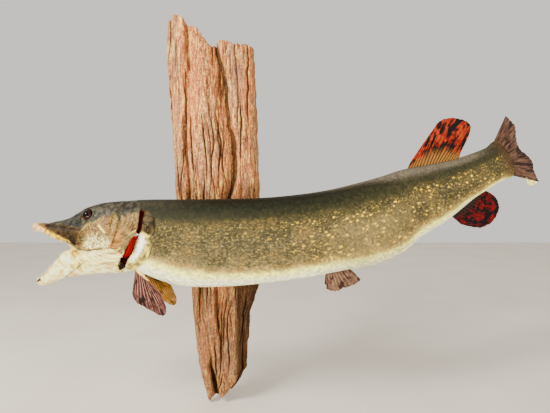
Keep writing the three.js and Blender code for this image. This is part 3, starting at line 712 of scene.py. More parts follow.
class Surface:
    """A material whose nodes are written as short expressions."""

    def __init__(self, name, **fixed):
        self.material = bpy.data.materials.new(name)
        self.material.use_nodes = True
        self.nodes = self.material.node_tree.nodes
        self.links = self.material.node_tree.links
        self.shader = self.nodes["Principled BSDF"]
        for key, value in fixed.items():
            self.shader.inputs[key.replace("_", " ")].default_value = value

    def put(self, socket, value):
        """Links a socket to the value, or sets it when the value is a plain one."""
        if isinstance(value, bpy.types.NodeSocket):
            self.links.new(value, socket)
        else:
            socket.default_value = value

    def add(self, kind, settings=None, **inputs):
        """A node of that kind, with its settings and its inputs by name."""
        node = self.nodes.new("ShaderNode" + kind)
        for key, value in (settings or {}).items():
            setattr(node, key, value)
        for key, value in inputs.items():
            self.put(node.inputs[key.replace("_", " ")], value)
        return node

    def math(self, operation, *values):
        node = self.nodes.new("ShaderNodeMath")
        node.operation = operation
        for socket, value in zip(node.inputs, values):
            self.put(socket, value)
        return node.outputs[0]

    def linear(self, value, slope, base):
        """The value times the slope, plus the base."""
        return self.math("MULTIPLY_ADD", value, slope, base)

    def step(self, low, high, value):
        """0 below low, 1 above high and smooth between; it also runs downwards."""
        node = self.add("MapRange", {"interpolation_type": "SMOOTHSTEP"}, Value=value)
        rising = high > low
        node.inputs["From Min"].default_value = min(low, high)
        node.inputs["From Max"].default_value = max(low, high)
        node.inputs["To Min"].default_value = 0.0 if rising else 1.0
        node.inputs["To Max"].default_value = 1.0 if rising else 0.0
        return node.outputs[0]

    def times(self, *values):
        """The product of one or more values."""
        product = values[0]
        for value in values[1:]:
            product = self.math("MULTIPLY", product, value)
        return product

    def mix(self, share, first, second, blend="MIX"):
        node = self.add("Mix", {"data_type": "RGBA", "blend_type": blend})
        self.put(node.inputs[0], share)
        self.put(node.inputs[6], first)
        self.put(node.inputs[7], second)
        return node.outputs[2]

    def paint(self, under, colour, *shares):
        """A display colour laid over another by the product of the shares."""
        return self.mix(self.times(*shares), under, rgb(*colour))

    def value(self, name, vector=False):
        node = self.add("Attribute", {"attribute_name": name})
        return node.outputs["Vector" if vector else "Fac"]

    def place(self):
        return self.add("TexCoord").outputs["Object"]

    def parts(self, vector):
        return self.add("SeparateXYZ", Vector=vector).outputs

    def plane(self, x, y):
        return self.add("CombineXYZ", X=x, Y=y).outputs[0]

    def vector_math(self, operation, first, second):
        node = self.add("VectorMath", {"operation": operation})
        self.put(node.inputs[0], first)
        self.put(node.inputs[1], second)
        return node.outputs[0]

    def scaled(self, vector, scale):
        return self.vector_math("MULTIPLY", vector, scale)

    def noise(self, vector, scale, detail=3.0, rough=0.55):
        return self.add("TexNoise", Vector=vector, Scale=scale, Detail=detail,
                        Roughness=rough).outputs["Fac"]

    def cells(self, vector, scale, feature="F1", jitter=1.0):
        node = self.add("TexVoronoi", {"feature": feature}, Vector=vector, Scale=scale,
                        Randomness=jitter)
        return node.outputs["Distance"]

    def ramp(self, value, stops):
        node = self.add("ValToRGB", Fac=value)
        elements = node.color_ramp.elements
        while len(elements) < len(stops):
            elements.new(0.5)
        for element, (at, colour) in zip(elements, stops):
            element.position = at
            element.color = colour
        return node.outputs["Color"]

    def bump(self, height, distance, strength=1.0, under=None):
        node = self.add("Bump", Height=height, Distance=distance, Strength=strength)
        if under is not None:
            self.put(node.inputs["Normal"], under)
        return node.outputs["Normal"]

    def done(self, *pieces, **linked):
        """Links the shader's inputs by name and puts the material on the pieces."""
        for key, value in linked.items():
            self.put(self.shader.inputs[key.replace("_", " ")], value)
        for piece in pieces:
            piece.data.materials.clear()
            piece.data.materials.append(self.material)


# ---------------------------------------------------------------- the fish's colours

# The colours from the back to the belly; the paler grey at the very top is partly painted sheen along the
# ridge.
BACK_TO_BELLY = [
    (0.0, rgb(90, 84, 68)), (0.07, rgb(74, 70, 56)), (0.13, rgb(56, 54, 40)),
    (0.24, rgb(62, 63, 45)), (0.31, rgb(78, 76, 52)), (0.38, rgb(118, 107, 72)),
    (0.47, rgb(130, 117, 82)), (0.58, rgb(137, 122, 84)), (0.65, rgb(164, 149, 108)),
    (0.69, rgb(206, 192, 146)), (0.735, rgb(236, 223, 184)), (0.84, rgb(244, 238, 212)),
    (1.0, rgb(234, 228, 204)),
]


def body_colour(s):
    """The trunk's colour, from its place on the body."""
    run, down, girth = s.parts(s.value("place", vector=True))
    flat = s.plane(run, girth)
    waver = s.noise(flat, 14.0)
    shift = s.linear(s.step(0.04, 0.26, run), -0.085, 0.065)
    shift = s.times(shift, s.step(0.35, 0.62, down))
    shift = s.linear(s.step(0.55, 0.75, run), -0.04, shift)
    level = s.math("ADD", down, s.linear(waver, 0.06, -0.03))
    level = s.math("ADD", level, shift)
    colour = s.ramp(level, BACK_TO_BELLY)
    flank = s.times(s.step(0.31, 0.40, level), s.step(0.75, 0.67, level))
    rear = s.step(0.15, 0.5, run)
    colour = s.paint(colour, (104, 98, 72), s.step(0.35, 0.65, run), s.step(0.40, 0.30, level), 0.45)
    nape = s.times(s.step(0.20, 0.02, run), s.step(0.30, 0.16, down), 0.8)
    colour = s.paint(colour, (100, 94, 78), nape)
    # A pale strip along the back's ridge: painted sheen of the varnish.
    ridge_sheen = s.step(0.16, 0.03, s.linear(s.step(0.46, 0.60, run), -0.13, down))
    ridge_sheen = s.times(ridge_sheen, s.step(0.30, 0.52, run), s.step(0.79, 0.71, run), 0.8)
    colour = s.paint(colour, (150, 138, 120), ridge_sheen)
    cloud = s.noise(s.scaled(flat, (1.0, 1.4, 1.0)), 24.0, 4.0)
    colour = s.paint(colour, (98, 93, 64), s.step(0.56, 0.40, cloud), flank, 0.6)
    colour = s.paint(colour, (160, 132, 82), s.step(0.50, 0.66, cloud), flank, 0.5)
    fine = s.noise(s.scaled(flat, (1.0, 1.5, 1.0)), 210.0, 3.0, 0.65)
    colour = s.paint(colour, (78, 72, 48), s.step(0.50, 0.38, fine), flank, 0.55)
    colour = s.paint(colour, (198, 178, 124), s.step(0.54, 0.66, fine), flank, 0.6)
    warm = s.times(s.step(0.58, 0.68, level), s.step(0.74, 0.71, level), s.step(0.25, 0.45, run))
    colour = s.paint(colour, (176, 144, 84), warm, 0.3)
    haunch = s.times(s.step(0.36, 0.45, run), s.step(0.58, 0.52, run), s.step(0.36, 0.52, level))
    colour = s.paint(colour, (192, 170, 116), haunch, 0.4)
    stray = s.add("TexNoise", Vector=flat, Scale=90.0).outputs["Color"]
    bent = s.vector_math("ADD", s.scaled(flat, (0.62, 1.1, 1.0)),
                         s.scaled(stray, (0.004, 0.003, 0.0)))
    large = s.cells(bent, 118.0, jitter=0.9)
    small = s.cells(bent, 260.0)
    grown = s.times(s.step(0.28, 0.18, large), s.linear(rear, 0.9, 0.1))
    dots = s.math("MAXIMUM", grown, s.times(s.step(0.26, 0.14, small),
                                            s.linear(rear, 0.35, 0.35)))
    patchy = s.step(0.36, 0.54, s.noise(flat, 60.0))
    dots = s.times(dots, flank, s.linear(patchy, 0.7, 0.3))
    colour = s.paint(colour, (224, 206, 160), dots, 0.9)
    frayed = s.linear(waver, 0.03, run)
    colour = s.paint(colour, (112, 86, 62), s.step(0.790, 0.822, frayed), 0.75)
    return colour, flat


def skin_surface(skin):
    """The body's colour, with the cheek and the head's markings, lines and linings over it, some of them
    painted shade and painted highlights.
    """
    s = Surface("varnished skin", Specular_IOR_Level=0.1)
    colour, flat = body_colour(s)
    at = s.place()
    folds = s.value("fold", vector=True)
    x, _, z = s.parts(at)
    waver = s.math("SUBTRACT", s.noise(at, 150.0, 4.0), 0.5)
    vein = s.noise(at, 330.0, 5.0, 0.7)
    net = s.cells(s.scaled(at, (1.0, 0.5, 1.2)), 260.0, "DISTANCE_TO_EDGE")
    cheek = s.mix(s.step(0.38, 0.62, s.noise(at, 120.0, 4.0)), rgb(86, 68, 38), rgb(156, 128, 80))
    cheek = s.mix(s.times(s.step(0.12, 0.02, net), 0.6), cheek, rgb(214, 190, 142))
    cheek = s.mix(s.times(s.step(0.54, 0.66, vein), 0.7), cheek, rgb(86, 62, 34))
    colour = s.mix(s.step(-0.150, -0.175, x), colour, cheek)
    for name, (_, edge, wavers, dark, light, blotches, folded) in MARKS.items():
        mottle = s.noise(at, blotches, 4.0)
        if folded:
            mottle = s.noise(s.scaled(folds, (260.0, 1.6, 12.0)), 1.0, 4.0, 0.65)
        paint = s.mix(s.step(0.36, 0.64, mottle), rgb(*dark), rgb(*light))
        depth = s.linear(waver, 2.0 * wavers, s.value(name))
        colour = s.mix(s.step(-edge, edge, depth), colour, paint)
    skull = s.step(-0.1, -0.12, x)
    colour = s.paint(colour, (100, 70, 44), s.step(0.56, 0.70, vein), skull, 0.5)
    pale_fleck = s.times(s.step(0.44, 0.32, vein), skull, s.step(-0.004, -0.016, z),
                         s.step(-0.250, -0.236, x), 0.3)
    colour = s.paint(colour, (240, 226, 196), pale_fleck)
    # Pale lines with painted highlights on the ridges, then dark lines with painted shade in the creases.
    colour = s.paint(colour, (232, 216, 180), s.value("pale_line_and_ridge_highlight"))
    colour = s.paint(colour, (44, 28, 18), s.value("dark_line_and_crease_shade"))
    lining = s.mix(s.noise(at, 90.0), rgb(92, 62, 46), rgb(150, 112, 86))
    colour = s.mix(s.value("mouth"), colour, lining)
    behind_cover = s.math("MAXIMUM", s.step(-0.142, -0.136, x), s.step(-0.045, -0.055, z))
    chamber = s.times(s.step(0.5, 3.0, s.value("chamber")), behind_cover)
    colour = s.paint(colour, (104, 18, 12), chamber)
    cell = s.cells(s.scaled(flat, (0.8, 1.1, 1.0)), 200.0, jitter=0.5)
    normal = s.bump(cell, 0.0004, 0.4)
    normal = s.bump(vein, 0.0005, 0.35, normal)
    rough = s.linear(s.noise(at, 150.0), 0.3, 0.3)
    s.done(skin, Base_Color=colour, Roughness=rough, Normal=normal)


def scale_surface(pieces):
    """The body's colour, with a tone for each scale."""
    s = Surface("varnished scales", Specular_IOR_Level=0.07)
    colour, _ = body_colour(s)
    tone = s.value("tone")
    shade = s.ramp(tone, [(0.0, (0.70, 0.70, 0.66, 1)), (0.6, (1.0, 1.0, 1.0, 1)),
                          (1.0, (1.35, 1.32, 1.2, 1))])
    colour = s.mix(1.0, colour, shade, "MULTIPLY")
    normal = s.bump(s.noise(s.place(), 900.0, 2.0), 0.0002, 0.4)
    rough = s.linear(tone, 0.15, 0.5)
    s.done(*pieces, Base_Color=colour, Roughness=rough, Normal=normal)


# ---------------------------------------------------------------- scales

# One scale seen from above, in its own lengths: forward, across. The rear is rounded.
SCALE_RIM = [(-0.70, 0.0), (-0.45, 0.46), (0.05, 0.60), (0.45, 0.42), (0.66, 0.0),
             (0.45, -0.42), (0.05, -0.60), (-0.45, -0.46)]
# All its corners: the rim, the top and the underside, each with how far it is raised, in mm.
SCALE_CORNERS = [(*corner, 0.0) for corner in SCALE_RIM] + [(0.02, 0.0, 0.14), (-0.15, 0.0, -0.55)]
SCALE_PLAN = np.array([corner[:2] for corner in SCALE_CORNERS])
PATCH = 0.003  # about the length of a scale's patch in OFBake
PATCH_MARGIN = 0.02  # left free round the unwrap


def build_scales(name, side):
    """Overlapping plates in rows that narrow towards the tail, as one mesh."""
    rng = np.random.default_rng(11 + side)
    t, rings = 1.5, []
    while t < TRUNK_END - 0.25:
        _, up, _, half = station(t)
        girth = np.pi * np.sqrt((up @ up + half ** 2) / 2)
        size = girth / SCALE_ROWS
        rings.append((t, size))
        t += 0.80 * size / np.linalg.norm(station(t + 0.5)[0] - station(t)[0]) * 0.5
    ring_t = np.repeat([r[0] for r in rings], SCALE_ROWS)
    size = np.repeat([r[1] for r in rings], SCALE_ROWS)
    row = np.tile(np.arange(SCALE_ROWS), len(rings))
    shift = np.repeat(np.arange(len(rings)) % 2 * 0.5, SCALE_ROWS)
    degrees = 180 * (row + 0.25 + shift) / SCALE_ROWS
    ring_t = ring_t + rng.normal(0, 0.006, len(row))
    start = np.interp(degrees, [0, 40, 60, 90, 115, 152, 180],
                      [1.6, 2.2, 3.0, 3.02, 2.88, 2.4, 1.7])
    keep = (ring_t > start) & (degrees < 178.5)
    ring_t, size, degrees = ring_t[keep], size[keep], degrees[keep]
    angle = side * np.radians(degrees)
    root = trunk_point(ring_t, angle, -COAT)
    forward = unit(trunk_point(ring_t + 0.02, angle, -COAT) - root)
    across = trunk_point(ring_t, angle + side * 0.02, -COAT) - root
    across = unit(across - np.sum(across * forward, axis=1, keepdims=True) * forward)
    normal = np.cross(forward, across)
    outward = root - station(ring_t)[0]
    normal *= np.sign(np.sum(normal * outward, axis=1, keepdims=True))
    count = len(root)
    size = size * rng.uniform(0.93, 1.07, count)
    lift = rng.uniform(0.42, 0.62, count)
    tilt = rng.normal(0, 0.05, count)
    points = []
    for along, wide, raised in SCALE_CORNERS:
        rise = (-0.25 + lift * (along + 0.7) / 1.36) - 0.05 * (wide / 0.6) ** 2 + tilt * wide
        rise = rise + raised
        points.append(root + forward * (along * size)[:, None] + across * (wide * size)[:, None]
                      + normal * rise[:, None])
    points = np.stack(points, 1).reshape(-1, 3)
    rim, each = len(SCALE_RIM), len(SCALE_CORNERS)
    single = [(j, (j + 1) % rim, rim) for j in range(rim)]
    single += [((j + 1) % rim, j, rim + 1) for j in range(rim)]
    faces = (np.arange(count)[:, None, None] * each + np.array(single)[None]).reshape(-1, 3)
    piece = make_piece(name, points, faces, "body_skin", smooth_shade=False)
    place = body_place(root)
    spread = SCALE_PLAN[None] * (size * MM)[:, None, None]
    per_girth = (place[:, 1] / np.maximum(place[:, 2], 1e-4))[:, None]
    corners = np.repeat(place[:, None], each, axis=1)
    corners += np.stack([spread[..., 0], spread[..., 1] * per_girth, spread[..., 1]], -1)
    set_values(piece.data, "place", corners.reshape(-1, 3))
    set_values(piece.data, "tone", np.repeat(rng.uniform(0, 1, count), each))
    bake_patches(piece.data, place)
    return piece


def bake_patches(mesh, place):
    """An unwrap in which each scale is a small patch at its place on the flattened skin."""
    run, down = place[:, 0], place[:, 1]
    shares = np.stack([(run - run.min()) / np.ptp(run), down], 1)
    centre = PATCH_MARGIN + (1 - 2 * PATCH_MARGIN) * shares
    uv = (centre[:, None] + (SCALE_PLAN / 1.4 * PATCH)[None]).reshape(-1, 2)
    loops = np.empty(len(mesh.loops), np.int32)
    mesh.loops.foreach_get("vertex_index", loops)
    layer = mesh.uv_layers.new(name="OFBake")
    layer.data.foreach_set("uv", uv[loops].astype(np.float32).ravel())


# ---------------------------------------------------------------- fins

# Root line, sunk in the body, and free edge, both from front to rear as (x, z), as in the
# solids, with the y offset from the mid-plane at root and edge.
FINS = {
    "dorsal_fin": {
        "root": [(374, 70), (430, 82), (484, 95)],
        "edge": [(385, 91), (424, 145), (446, 171), (478, 177.5), (508, 168), (508, 146), (488, 109)],
        "rays": 19},
    "anal_fin": {
        "root": [(470, -20), (506, 7), (540, 34)],
        "edge": [(491, -37), (533, -43.5), (563, -29), (577, -3), (569, 18), (551, 29)],
        "rays": 15},
    "tail_fin": {
        "root": [(562, 130), (590, 104), (597, 66)],
        "edge": [(592, 188), (611, 168), (614, 145), (622, 121), (646, 97), (652, 73), (662, 50)],
        "rays": 19},
    "pectoral_fin": {
        "root": [(-141, -112), (-130, -124), (-118, -136)],
        "edge": [(-142, -160), (-134, -175), (-112, -187), (-86, -199), (-77, -187), (-88, -158)],
        "rays": 13, "root_off": 21, "edge_off": 40},
    "pelvic_fin": {
        "root": [(215, -118), (234, -114), (252, -109)],
        "edge": [(213, -155), (231, -159), (246, -153), (265, -147), (278, -136), (259, -122)],
        "rays": 11, "root_off": 12, "edge_off": 23, "right_back": 2},
}
RED_FINS = ("dorsal_fin", "anal_fin")


# Colours of each fin: the web, the rays, the blotches, the base between and on the rays, then
# how the blotches spread over rays and lengths and where they start and are full.
FIN_COLOURS = {
    "dorsal_fin": (((184, 58, 22), (218, 96, 42)), (56, 32, 24), (36, 26, 22), ((186, 134, 74), (48, 36, 28)),
                   {"blotches": (0.55, 2.2, 0.46, 0.54), "rays": 0.8, "base": 0.42}),
    "anal_fin": (((110, 26, 20), (166, 42, 26)), (66, 26, 20), (34, 22, 22), ((86, 60, 46), (40, 28, 24)),
                 {"blotches": (0.5, 6.0, 0.46, 0.54), "rays": 0.6, "base": 0.3}),
    "tail_fin": (((120, 88, 72), (148, 112, 92)), (92, 66, 54), (70, 50, 42), ((120, 100, 68), (92, 76, 50)),
                 {"blotches": (0.9, 1.6, 0.46, 0.60), "rays": 0.6, "base": 0.2}),
    "pectoral_fin_left": (((86, 50, 42), (122, 76, 64)), (204, 178, 160), (60, 36, 32),
                          ((232, 208, 176), (240, 222, 196)),
                          {"blotches": (0.5, 1.8, 0.50, 0.62), "rays": 0.8, "base": 0.16}),
    # The right pectoral's dark brown base is painted shade under the belly.
    "pectoral_fin_right": (((128, 88, 44), (180, 138, 80)), (226, 194, 134), (84, 52, 26),
                           ((70, 42, 22), (104, 68, 36)),
                           {"blotches": (0.5, 1.8, 0.52, 0.66), "rays": 0.8, "base": 0.5}),
    "pelvic_fin": (((108, 78, 60), (152, 116, 92)), (194, 160, 132), (82, 54, 42),
                   ((182, 150, 122), (206, 178, 150)),
                   {"blotches": (0.5, 1.8, 0.50, 0.62), "rays": 0.7, "base": 0.16}),
}


def build_fin(name, shape, side):
    """A rayed membrane with a torn edge, as a thin closed body."""
    rays = shape["rays"]
    u, v = unit_grid(rays * 8 + 1, 40)
    root = through(shape["root"], u * (len(shape["root"]) - 1))
    edge = through(shape["edge"], u * (len(shape["edge"]) - 1))
    length = np.linalg.norm(edge - root, axis=-1)
    phase = u * rays
    between = np.abs(phase % 1 - 0.5) * 2  # 0 midway between rays, 1 on a ray
    ragged = (0.8 * (1 - between) + 0.8 * (1 + lattice(phase, phase * 0, 7))
              + 0.6 * (1 + lattice(phase * 3.1, phase * 0, 8)))
    reach = v * (1 - ragged / length)
    xz = root + (edge - root) * reach[..., None]
    middle = np.interp(xz[..., 0], (TRUNK[:, 0] + TRUNK[:, 2]) / 2, TRUNK[:, 4])
    off = side * (shape.get("root_off", 0) * (1 - reach) + shape.get("edge_off", 0) * reach)
    ripple = 0.9 * np.sin(u * 9 + v * 2.5) * v + 0.5 * lattice(u * 7, v * 3, 4) * v
    ray = np.exp(-((1 - between) / 0.34) ** 2)
    fork = np.exp(-((np.abs(between - 0.45)) / 0.16) ** 2) * smooth(0.5, 0.75, v)
    rib = np.maximum(ray * (1 - 0.45 * smooth(0.5, 0.8, v)), fork * 0.7)
    segments = 0.10 * np.sin(reach * length / 1.6) * rib
    thick = (2.7 * (1 - v) + 0.9 * v) * (0.30 + 0.70 * rib) + segments
    thick = np.maximum(thick, 0.5) * np.where((u == 0) | (u == 1), 0.6, 1)
    x = xz[..., 0] + (shape.get("right_back", 0) if side > 0 else 0)
    base_y = middle + off + ripple
    front = np.stack([x, base_y - thick / 2, xz[..., 1]], -1)
    back = np.stack([x, base_y + thick / 2, xz[..., 1]], -1)
    points, faces = closed_slab(front, back)
    slot = "red_fin" if name in RED_FINS else "brown_fin"
    piece = make_piece(name + "_rayed", points, faces, slot, replaces=[name])
    web = np.stack([phase, v, rib], -1).reshape(-1, 3)
    set_values(piece.data, "web", np.concatenate([web, web]))
    return piece


def fin_surface(piece, web, ray, blotch, base, look):
    """Rays, the web between them and blotches across both, with the base drawn apart."""
    s = Surface(piece.name + " skin", Coat_Weight=0.05, Coat_Roughness=0.2, Specular_IOR_Level=0.08)
    phase, out, rib = s.parts(s.value("web", vector=True))
    at = s.place()
    spread, stretch, low, high = look["blotches"]
    flow = s.plane(s.times(phase, spread), s.times(out, stretch))
    cloud = s.noise(flow, 1.0, 3.0, 0.6)
    colour = s.mix(s.step(0.36, 0.64, s.noise(at, 90.0, 4.0)), rgb(*web[0]), rgb(*web[1]))
    line = s.step(0.38, 0.72, s.math("ADD", rib, s.linear(s.noise(at, 160.0), 0.5, -0.25)))
    colour = s.mix(s.times(line, look["rays"]), colour, rgb(*ray))
    spots = s.times(s.step(low, high, cloud), s.step(0.02, 0.2, out))
    colour = s.mix(spots, colour, rgb(*blotch))
    foot = s.step(look["base"], look["base"] * 0.3, s.math("ADD", out, s.linear(
        s.noise(at, 70.0), 0.2, -0.1)))
    stripes = s.mix(s.step(0.35, 0.7, rib), rgb(*base[0]), rgb(*base[1]))
    colour = s.mix(foot, colour, stripes)
    grain = s.noise(s.plane(s.times(phase, 6.0), s.times(out, 3.0)), 3.0)
    rough = s.linear(s.noise(at, 200.0), 0.2, 0.38)
    s.done(piece, Base_Color=colour, Roughness=rough, Normal=s.bump(grain, 0.0004, 0.6))


def build_flap():
    """The torn skin that hangs under the tail's lower tip."""
    u, v = unit_grid(40, 20)
    top_x, top_z = 632 + 25 * u, 62 - 11 * u
    low_x = 639 + 15 * u
    low_z = 42.5 + 3 * u + 1.8 * lattice(u * 5, u * 0, 51) + 1.2 * lattice(u * 13, u * 0, 52)
    x, z = top_x + (low_x - top_x) * v, top_z + (low_z - top_z) * v
    y = -66 + 1.5 * lattice(u * 4, v * 2, 53) * v
    half = 0.6 * (1 - 0.4 * v)
    front, back = (np.stack([x, y + way * half, z], -1) for way in (-1, 1))
    piece = make_piece("tail_flap", *closed_slab(front, back), "brown_fin")
    s = Surface("torn skin", Specular_IOR_Level=0.1)
    at = s.place()
    colour = s.mix(s.step(0.35, 0.65, s.noise(at, 260.0, 4.0)), rgb(206, 190, 124), rgb(240, 236, 196))
    s.done(piece, Base_Color=colour, Roughness=s.linear(s.noise(at, 300.0), 0.2, 0.5),
           Normal=s.bump(s.noise(at, 500.0), 0.0006, 0.6))


# ---------------------------------------------------------------- eyes

def build_eye(name, side):
    """A glass eye with a raised cornea, as rings round its line of sight."""
    sight = unit(np.array([-0.10, side * 0.96, 0.24]))
    ahead = unit(np.array([-1.0, 0, 0]) - sight * (-sight[0]))
    above = np.cross(sight, ahead)
    rings, around = 48, 64
    polar = np.linspace(0, np.pi, rings + 1)[1:-1]
    pp, aa = np.meshgrid(polar, full_turn(around), indexing="ij")
    radius = EYE["radius"] - 0.5 + 0.5 * np.exp(-(pp / 0.5) ** 2)
    body = (np.cos(pp) * radius)[..., None] * sight
    body = body + (np.sin(pp) * radius)[..., None] * (
        np.cos(aa)[..., None] * ahead + np.sin(aa)[..., None] * above)
    points = np.concatenate([body.reshape(-1, 3), [sight * EYE["radius"], -sight * radius[-1, 0]]])
    rows = rings - 1
    faces = grid_faces(rows, around, wrap=True).tolist()
    front, back = rows * around, rows * around + 1
    faces += [[front, (j + 1) % around, j] for j in range(around)]
    last = (rows - 1) * around
    faces += [[back, last + j, last + (j + 1) % around] for j in range(around)]
    points = points + eye_centre(side)
    piece = make_piece(name + "_glass", points, faces, "glass_eye", replaces=[name])
    drawn = np.append(pp.ravel() * (1 - 0.12 * np.cos(aa.ravel())), [0, np.pi])
    set_values(piece.data, "ring", drawn)
    set_values(piece.data, "ahead", np.append(np.cos(aa.ravel()), [0, 0]))
    return piece


def eye_surface(pieces):
    """Rings of colour round the pupil, by the angle off the line of sight."""
    s = Surface("glass eye", Roughness=0.15, Specular_IOR_Level=0.05, Coat_Weight=0.18,
                Coat_Roughness=0.02)
    at = s.place()
    ring = s.math("ADD", s.value("ring"), s.linear(s.noise(at, 500.0), 0.05, -0.025))
    colour = s.ramp(s.math("DIVIDE", ring, 1.6), [
        (0.0, rgb(12, 10, 12)), (0.33, rgb(14, 12, 12)), (0.36, rgb(96, 58, 36)),
        (0.40, rgb(72, 32, 28)), (0.50, rgb(84, 40, 34)), (0.58, rgb(60, 30, 24)),
        (0.64, rgb(24, 18, 14))])
    fleck = s.step(0.5, 0.68, s.noise(at, 900.0, 4.0))
    amber = s.times(fleck, s.step(0.56, 0.64, ring), s.step(0.95, 0.85, ring), 0.5)
    colour = s.paint(colour, (120, 72, 44), amber)
    rim = s.times(s.step(0.4, 0.8, s.value("ahead")), s.step(0.74, 0.80, ring), s.step(1.1, 1.0, ring))
    colour = s.paint(colour, (206, 132, 78), rim)
    s.done(*pieces, Base_Color=colour)


# ---------------------------------------------------------------- mouth and gills

def cone(base, tip, radius, around=10):
    """Points and faces of a curved tooth."""
    axis = tip - base
    across = unit(np.cross(axis, [0.0, 1.0, 0.3]))
    other = unit(np.cross(axis, across))
    turn = full_turn(around)
    rings = []
    for f in (0.0, 0.35, 0.7, 0.93):
        middle = base + axis * f + np.array([1.0, 0, 0]) * 0.9 * f * f
        wide = radius * (1 - f) ** 0.7
        rings.append(middle + wide * (np.cos(turn)[:, None] * across + np.sin(turn)[:, None] * other))
    points = np.concatenate([*rings, [tip + np.array([0.9, 0, 0])]])
    faces = grid_faces(4, around, wrap=True).tolist() + [list(range(around))[::-1]]
    faces += [[3 * around + j, 3 * around + (j + 1) % around, 4 * around] for j in range(around)]
    return points, faces


# Teeth on each side: in the lower jaw, along the upper lip and on the palate.
LOWER_TEETH, LIP_TEETH, PALATE_TEETH = 15, 22, 46


def build_teeth():
    """Long and short teeth in turn below, a fine row above and patches on the palate."""
    rng = np.random.default_rng(5)
    lower, upper = [], []
    for side in (LEFT, RIGHT):
        for i in range(LOWER_TEETH):
            t = 0.55 + 3.3 * i / (LOWER_TEETH - 1)
            x, lip, _, half, _ = through(LOWER, t)
            tall = (7.5 if i % 2 else 4.0) * (0.8 + 0.3 * rng.random())
            off = half - lower_wall(half) / 2 - 0.6
            base = np.array([x, head_y(x) + side * off, lip - 1.6])
            lean = np.array([rng.uniform(0.5, 1.6), -side * 0.8, 0])
            lower.append(cone(base, base + lean + [0, 0, tall + 1.4], 1.4 if i % 2 else 0.9))
        for i in range(LIP_TEETH):
            t = 0.4 + 4.3 * i / (LIP_TEETH - 1)
            x, _, _, _, _, edge, lip, _ = through(HEAD, t)
            tall = 1.6 + 0.8 * rng.random()
            off = lip - upper_wall(lip) * 0.5 - 0.8
            base = np.array([x, head_y(x) + side * off, edge + 2.0])
            upper.append(cone(base, base + [0.9, -side * 0.4, -tall - 1.6], 0.55))
        for _ in range(PALATE_TEETH):
            t = rng.uniform(0.9, 6.5)
            x, _, _, _, _, _, lip, palate = through(HEAD, t)
            share = rng.uniform(0.45, 0.68)
            base = np.array([x, head_y(x) + side * lip * share, palate + 1.2 + share * 0.2])
            upper.append(cone(base, base + [1.2, 0, -rng.uniform(2.6, 4.4)], 0.6))
    pieces = [make_piece(name, *join_closed(bodies), "jaw_skin")
              for name, bodies in (("lower_teeth", lower), ("upper_teeth", upper))]
    s = Surface("tooth", Coat_Weight=0.3, Coat_Roughness=0.1)
    at = s.place()
    colour = s.mix(s.noise(at, 400.0), rgb(236, 228, 204), rgb(206, 190, 150))
    s.done(*pieces, Base_Color=colour, Roughness=s.linear(s.noise(at, 800.0), 0.2, 0.2))


def build_tongue():
    """A low tongue with a groove along its middle, on the mouth's floor."""
    rows, around = 70, 40
    f = np.linspace(0, 1, rows)
    x = -311 + 96 * f
    wide = 11.5 * (0.3 + 0.7 * smooth(0, 0.35, f)) * (1 + 0.5 * f)
    floor = np.interp(x, LOWER[:, 0], LOWER[:, 4]) + 1.9
    turn = full_turn(around)
    tall = 4.6 * (0.35 + 0.65 * smooth(0, 0.1, f)) * smooth(1.02, 0.9, f)
    groove = 0.8 * np.exp(-(np.cos(turn) / 0.18) ** 2) * (np.sin(turn) > 0)
    height = tall[:, None] * (0.5 + 0.5 * np.sin(turn)[None]) - groove[None]
    height = height + 0.25 * lattice(x[:, None] / 3, turn[None] * 2, 2)
    rings = np.stack([np.repeat(x[:, None], around, 1),
                      head_y(x)[:, None] + wide[:, None] * np.cos(turn)[None],
                      floor[:, None] + np.maximum(height, 0)], -1)
    piece = make_piece("tongue_fleshy", *closed_loft(rings), "gill_flesh", replaces=["tongue"])
    s = Surface("tongue", Coat_Weight=0.2, Coat_Roughness=0.2, Specular_IOR_Level=0.1)
    at = s.place()
    colour = s.mix(s.noise(at, 140.0, 4.0), rgb(186, 132, 112), rgb(222, 188, 164))
    s.done(piece, Base_Color=colour, Roughness=s.linear(s.noise(at, 300.0), 0.2, 0.35),
           Normal=s.bump(s.noise(at, 700.0), 0.0004, 0.7))


def build_gills(name, side):
    """Rows of red filaments on the arches, as one ribbed sheet in the chamber."""
    down, along = unit_grid(200, 84)
    angle = side * np.radians(50 + 98 * down)
    rear = np.interp(np.degrees(np.abs(angle)), CHAMBER_ANGLES, CHAMBER_REAR) - 0.07
    first = np.interp(np.degrees(np.abs(angle)), COVER_ANGLES, COVER_FRONT) + 0.1
    first = np.maximum(1.12, first)
    t = first + (rear - first) * along
    arch = np.abs((along * 4.5) % 1 - 0.5) * 2
    comb = 0.5 + 0.5 * np.sin(down * 200 + arch * 1.2)
    out = -CHAMBER_DEPTH - 0.6 + 2.6 * (1 - arch ** 2) + 0.7 * comb * (1 - arch ** 3)
    points, faces = closed_slab(trunk_point(t, angle, out), trunk_point(t, angle, out - 1.5))
    piece = make_piece(name + "_filaments", points, faces, "gill_flesh", replaces=[name])
    set_values(piece.data, "comb", np.tile((comb * (1 - arch * 0.6)).ravel(), 2))
    return piece


def gill_surface(pieces):
    """Red combs, with painted shade at the top and the bottom of the chamber."""
    s = Surface("gill filaments", Specular_IOR_Level=0.05)
    at = s.place()
    colour = s.mix(s.step(0.1, 0.9, s.value("comb")), rgb(176, 10, 6), rgb(228, 26, 14))
    colour = s.paint(colour, (196, 12, 8), s.step(0.5, 0.7, s.noise(at, 160.0, 4.0)), 0.5)
    z = s.parts(at)[2]
    # Painted shade at the top and the bottom of the chamber.
    colour = s.paint(colour, (104, 26, 18), s.step(-0.054, -0.046, z))
    colour = s.paint(colour, (48, 24, 14), s.step(-0.088, -0.097, z))
    rough = s.linear(s.noise(at, 300.0), 0.2, 0.55)
    s.done(*pieces, Base_Color=colour, Roughness=rough, Normal=s.bump(s.noise(at, 900.0), 0.0003, 0.6))


# ---------------------------------------------------------------- driftwood

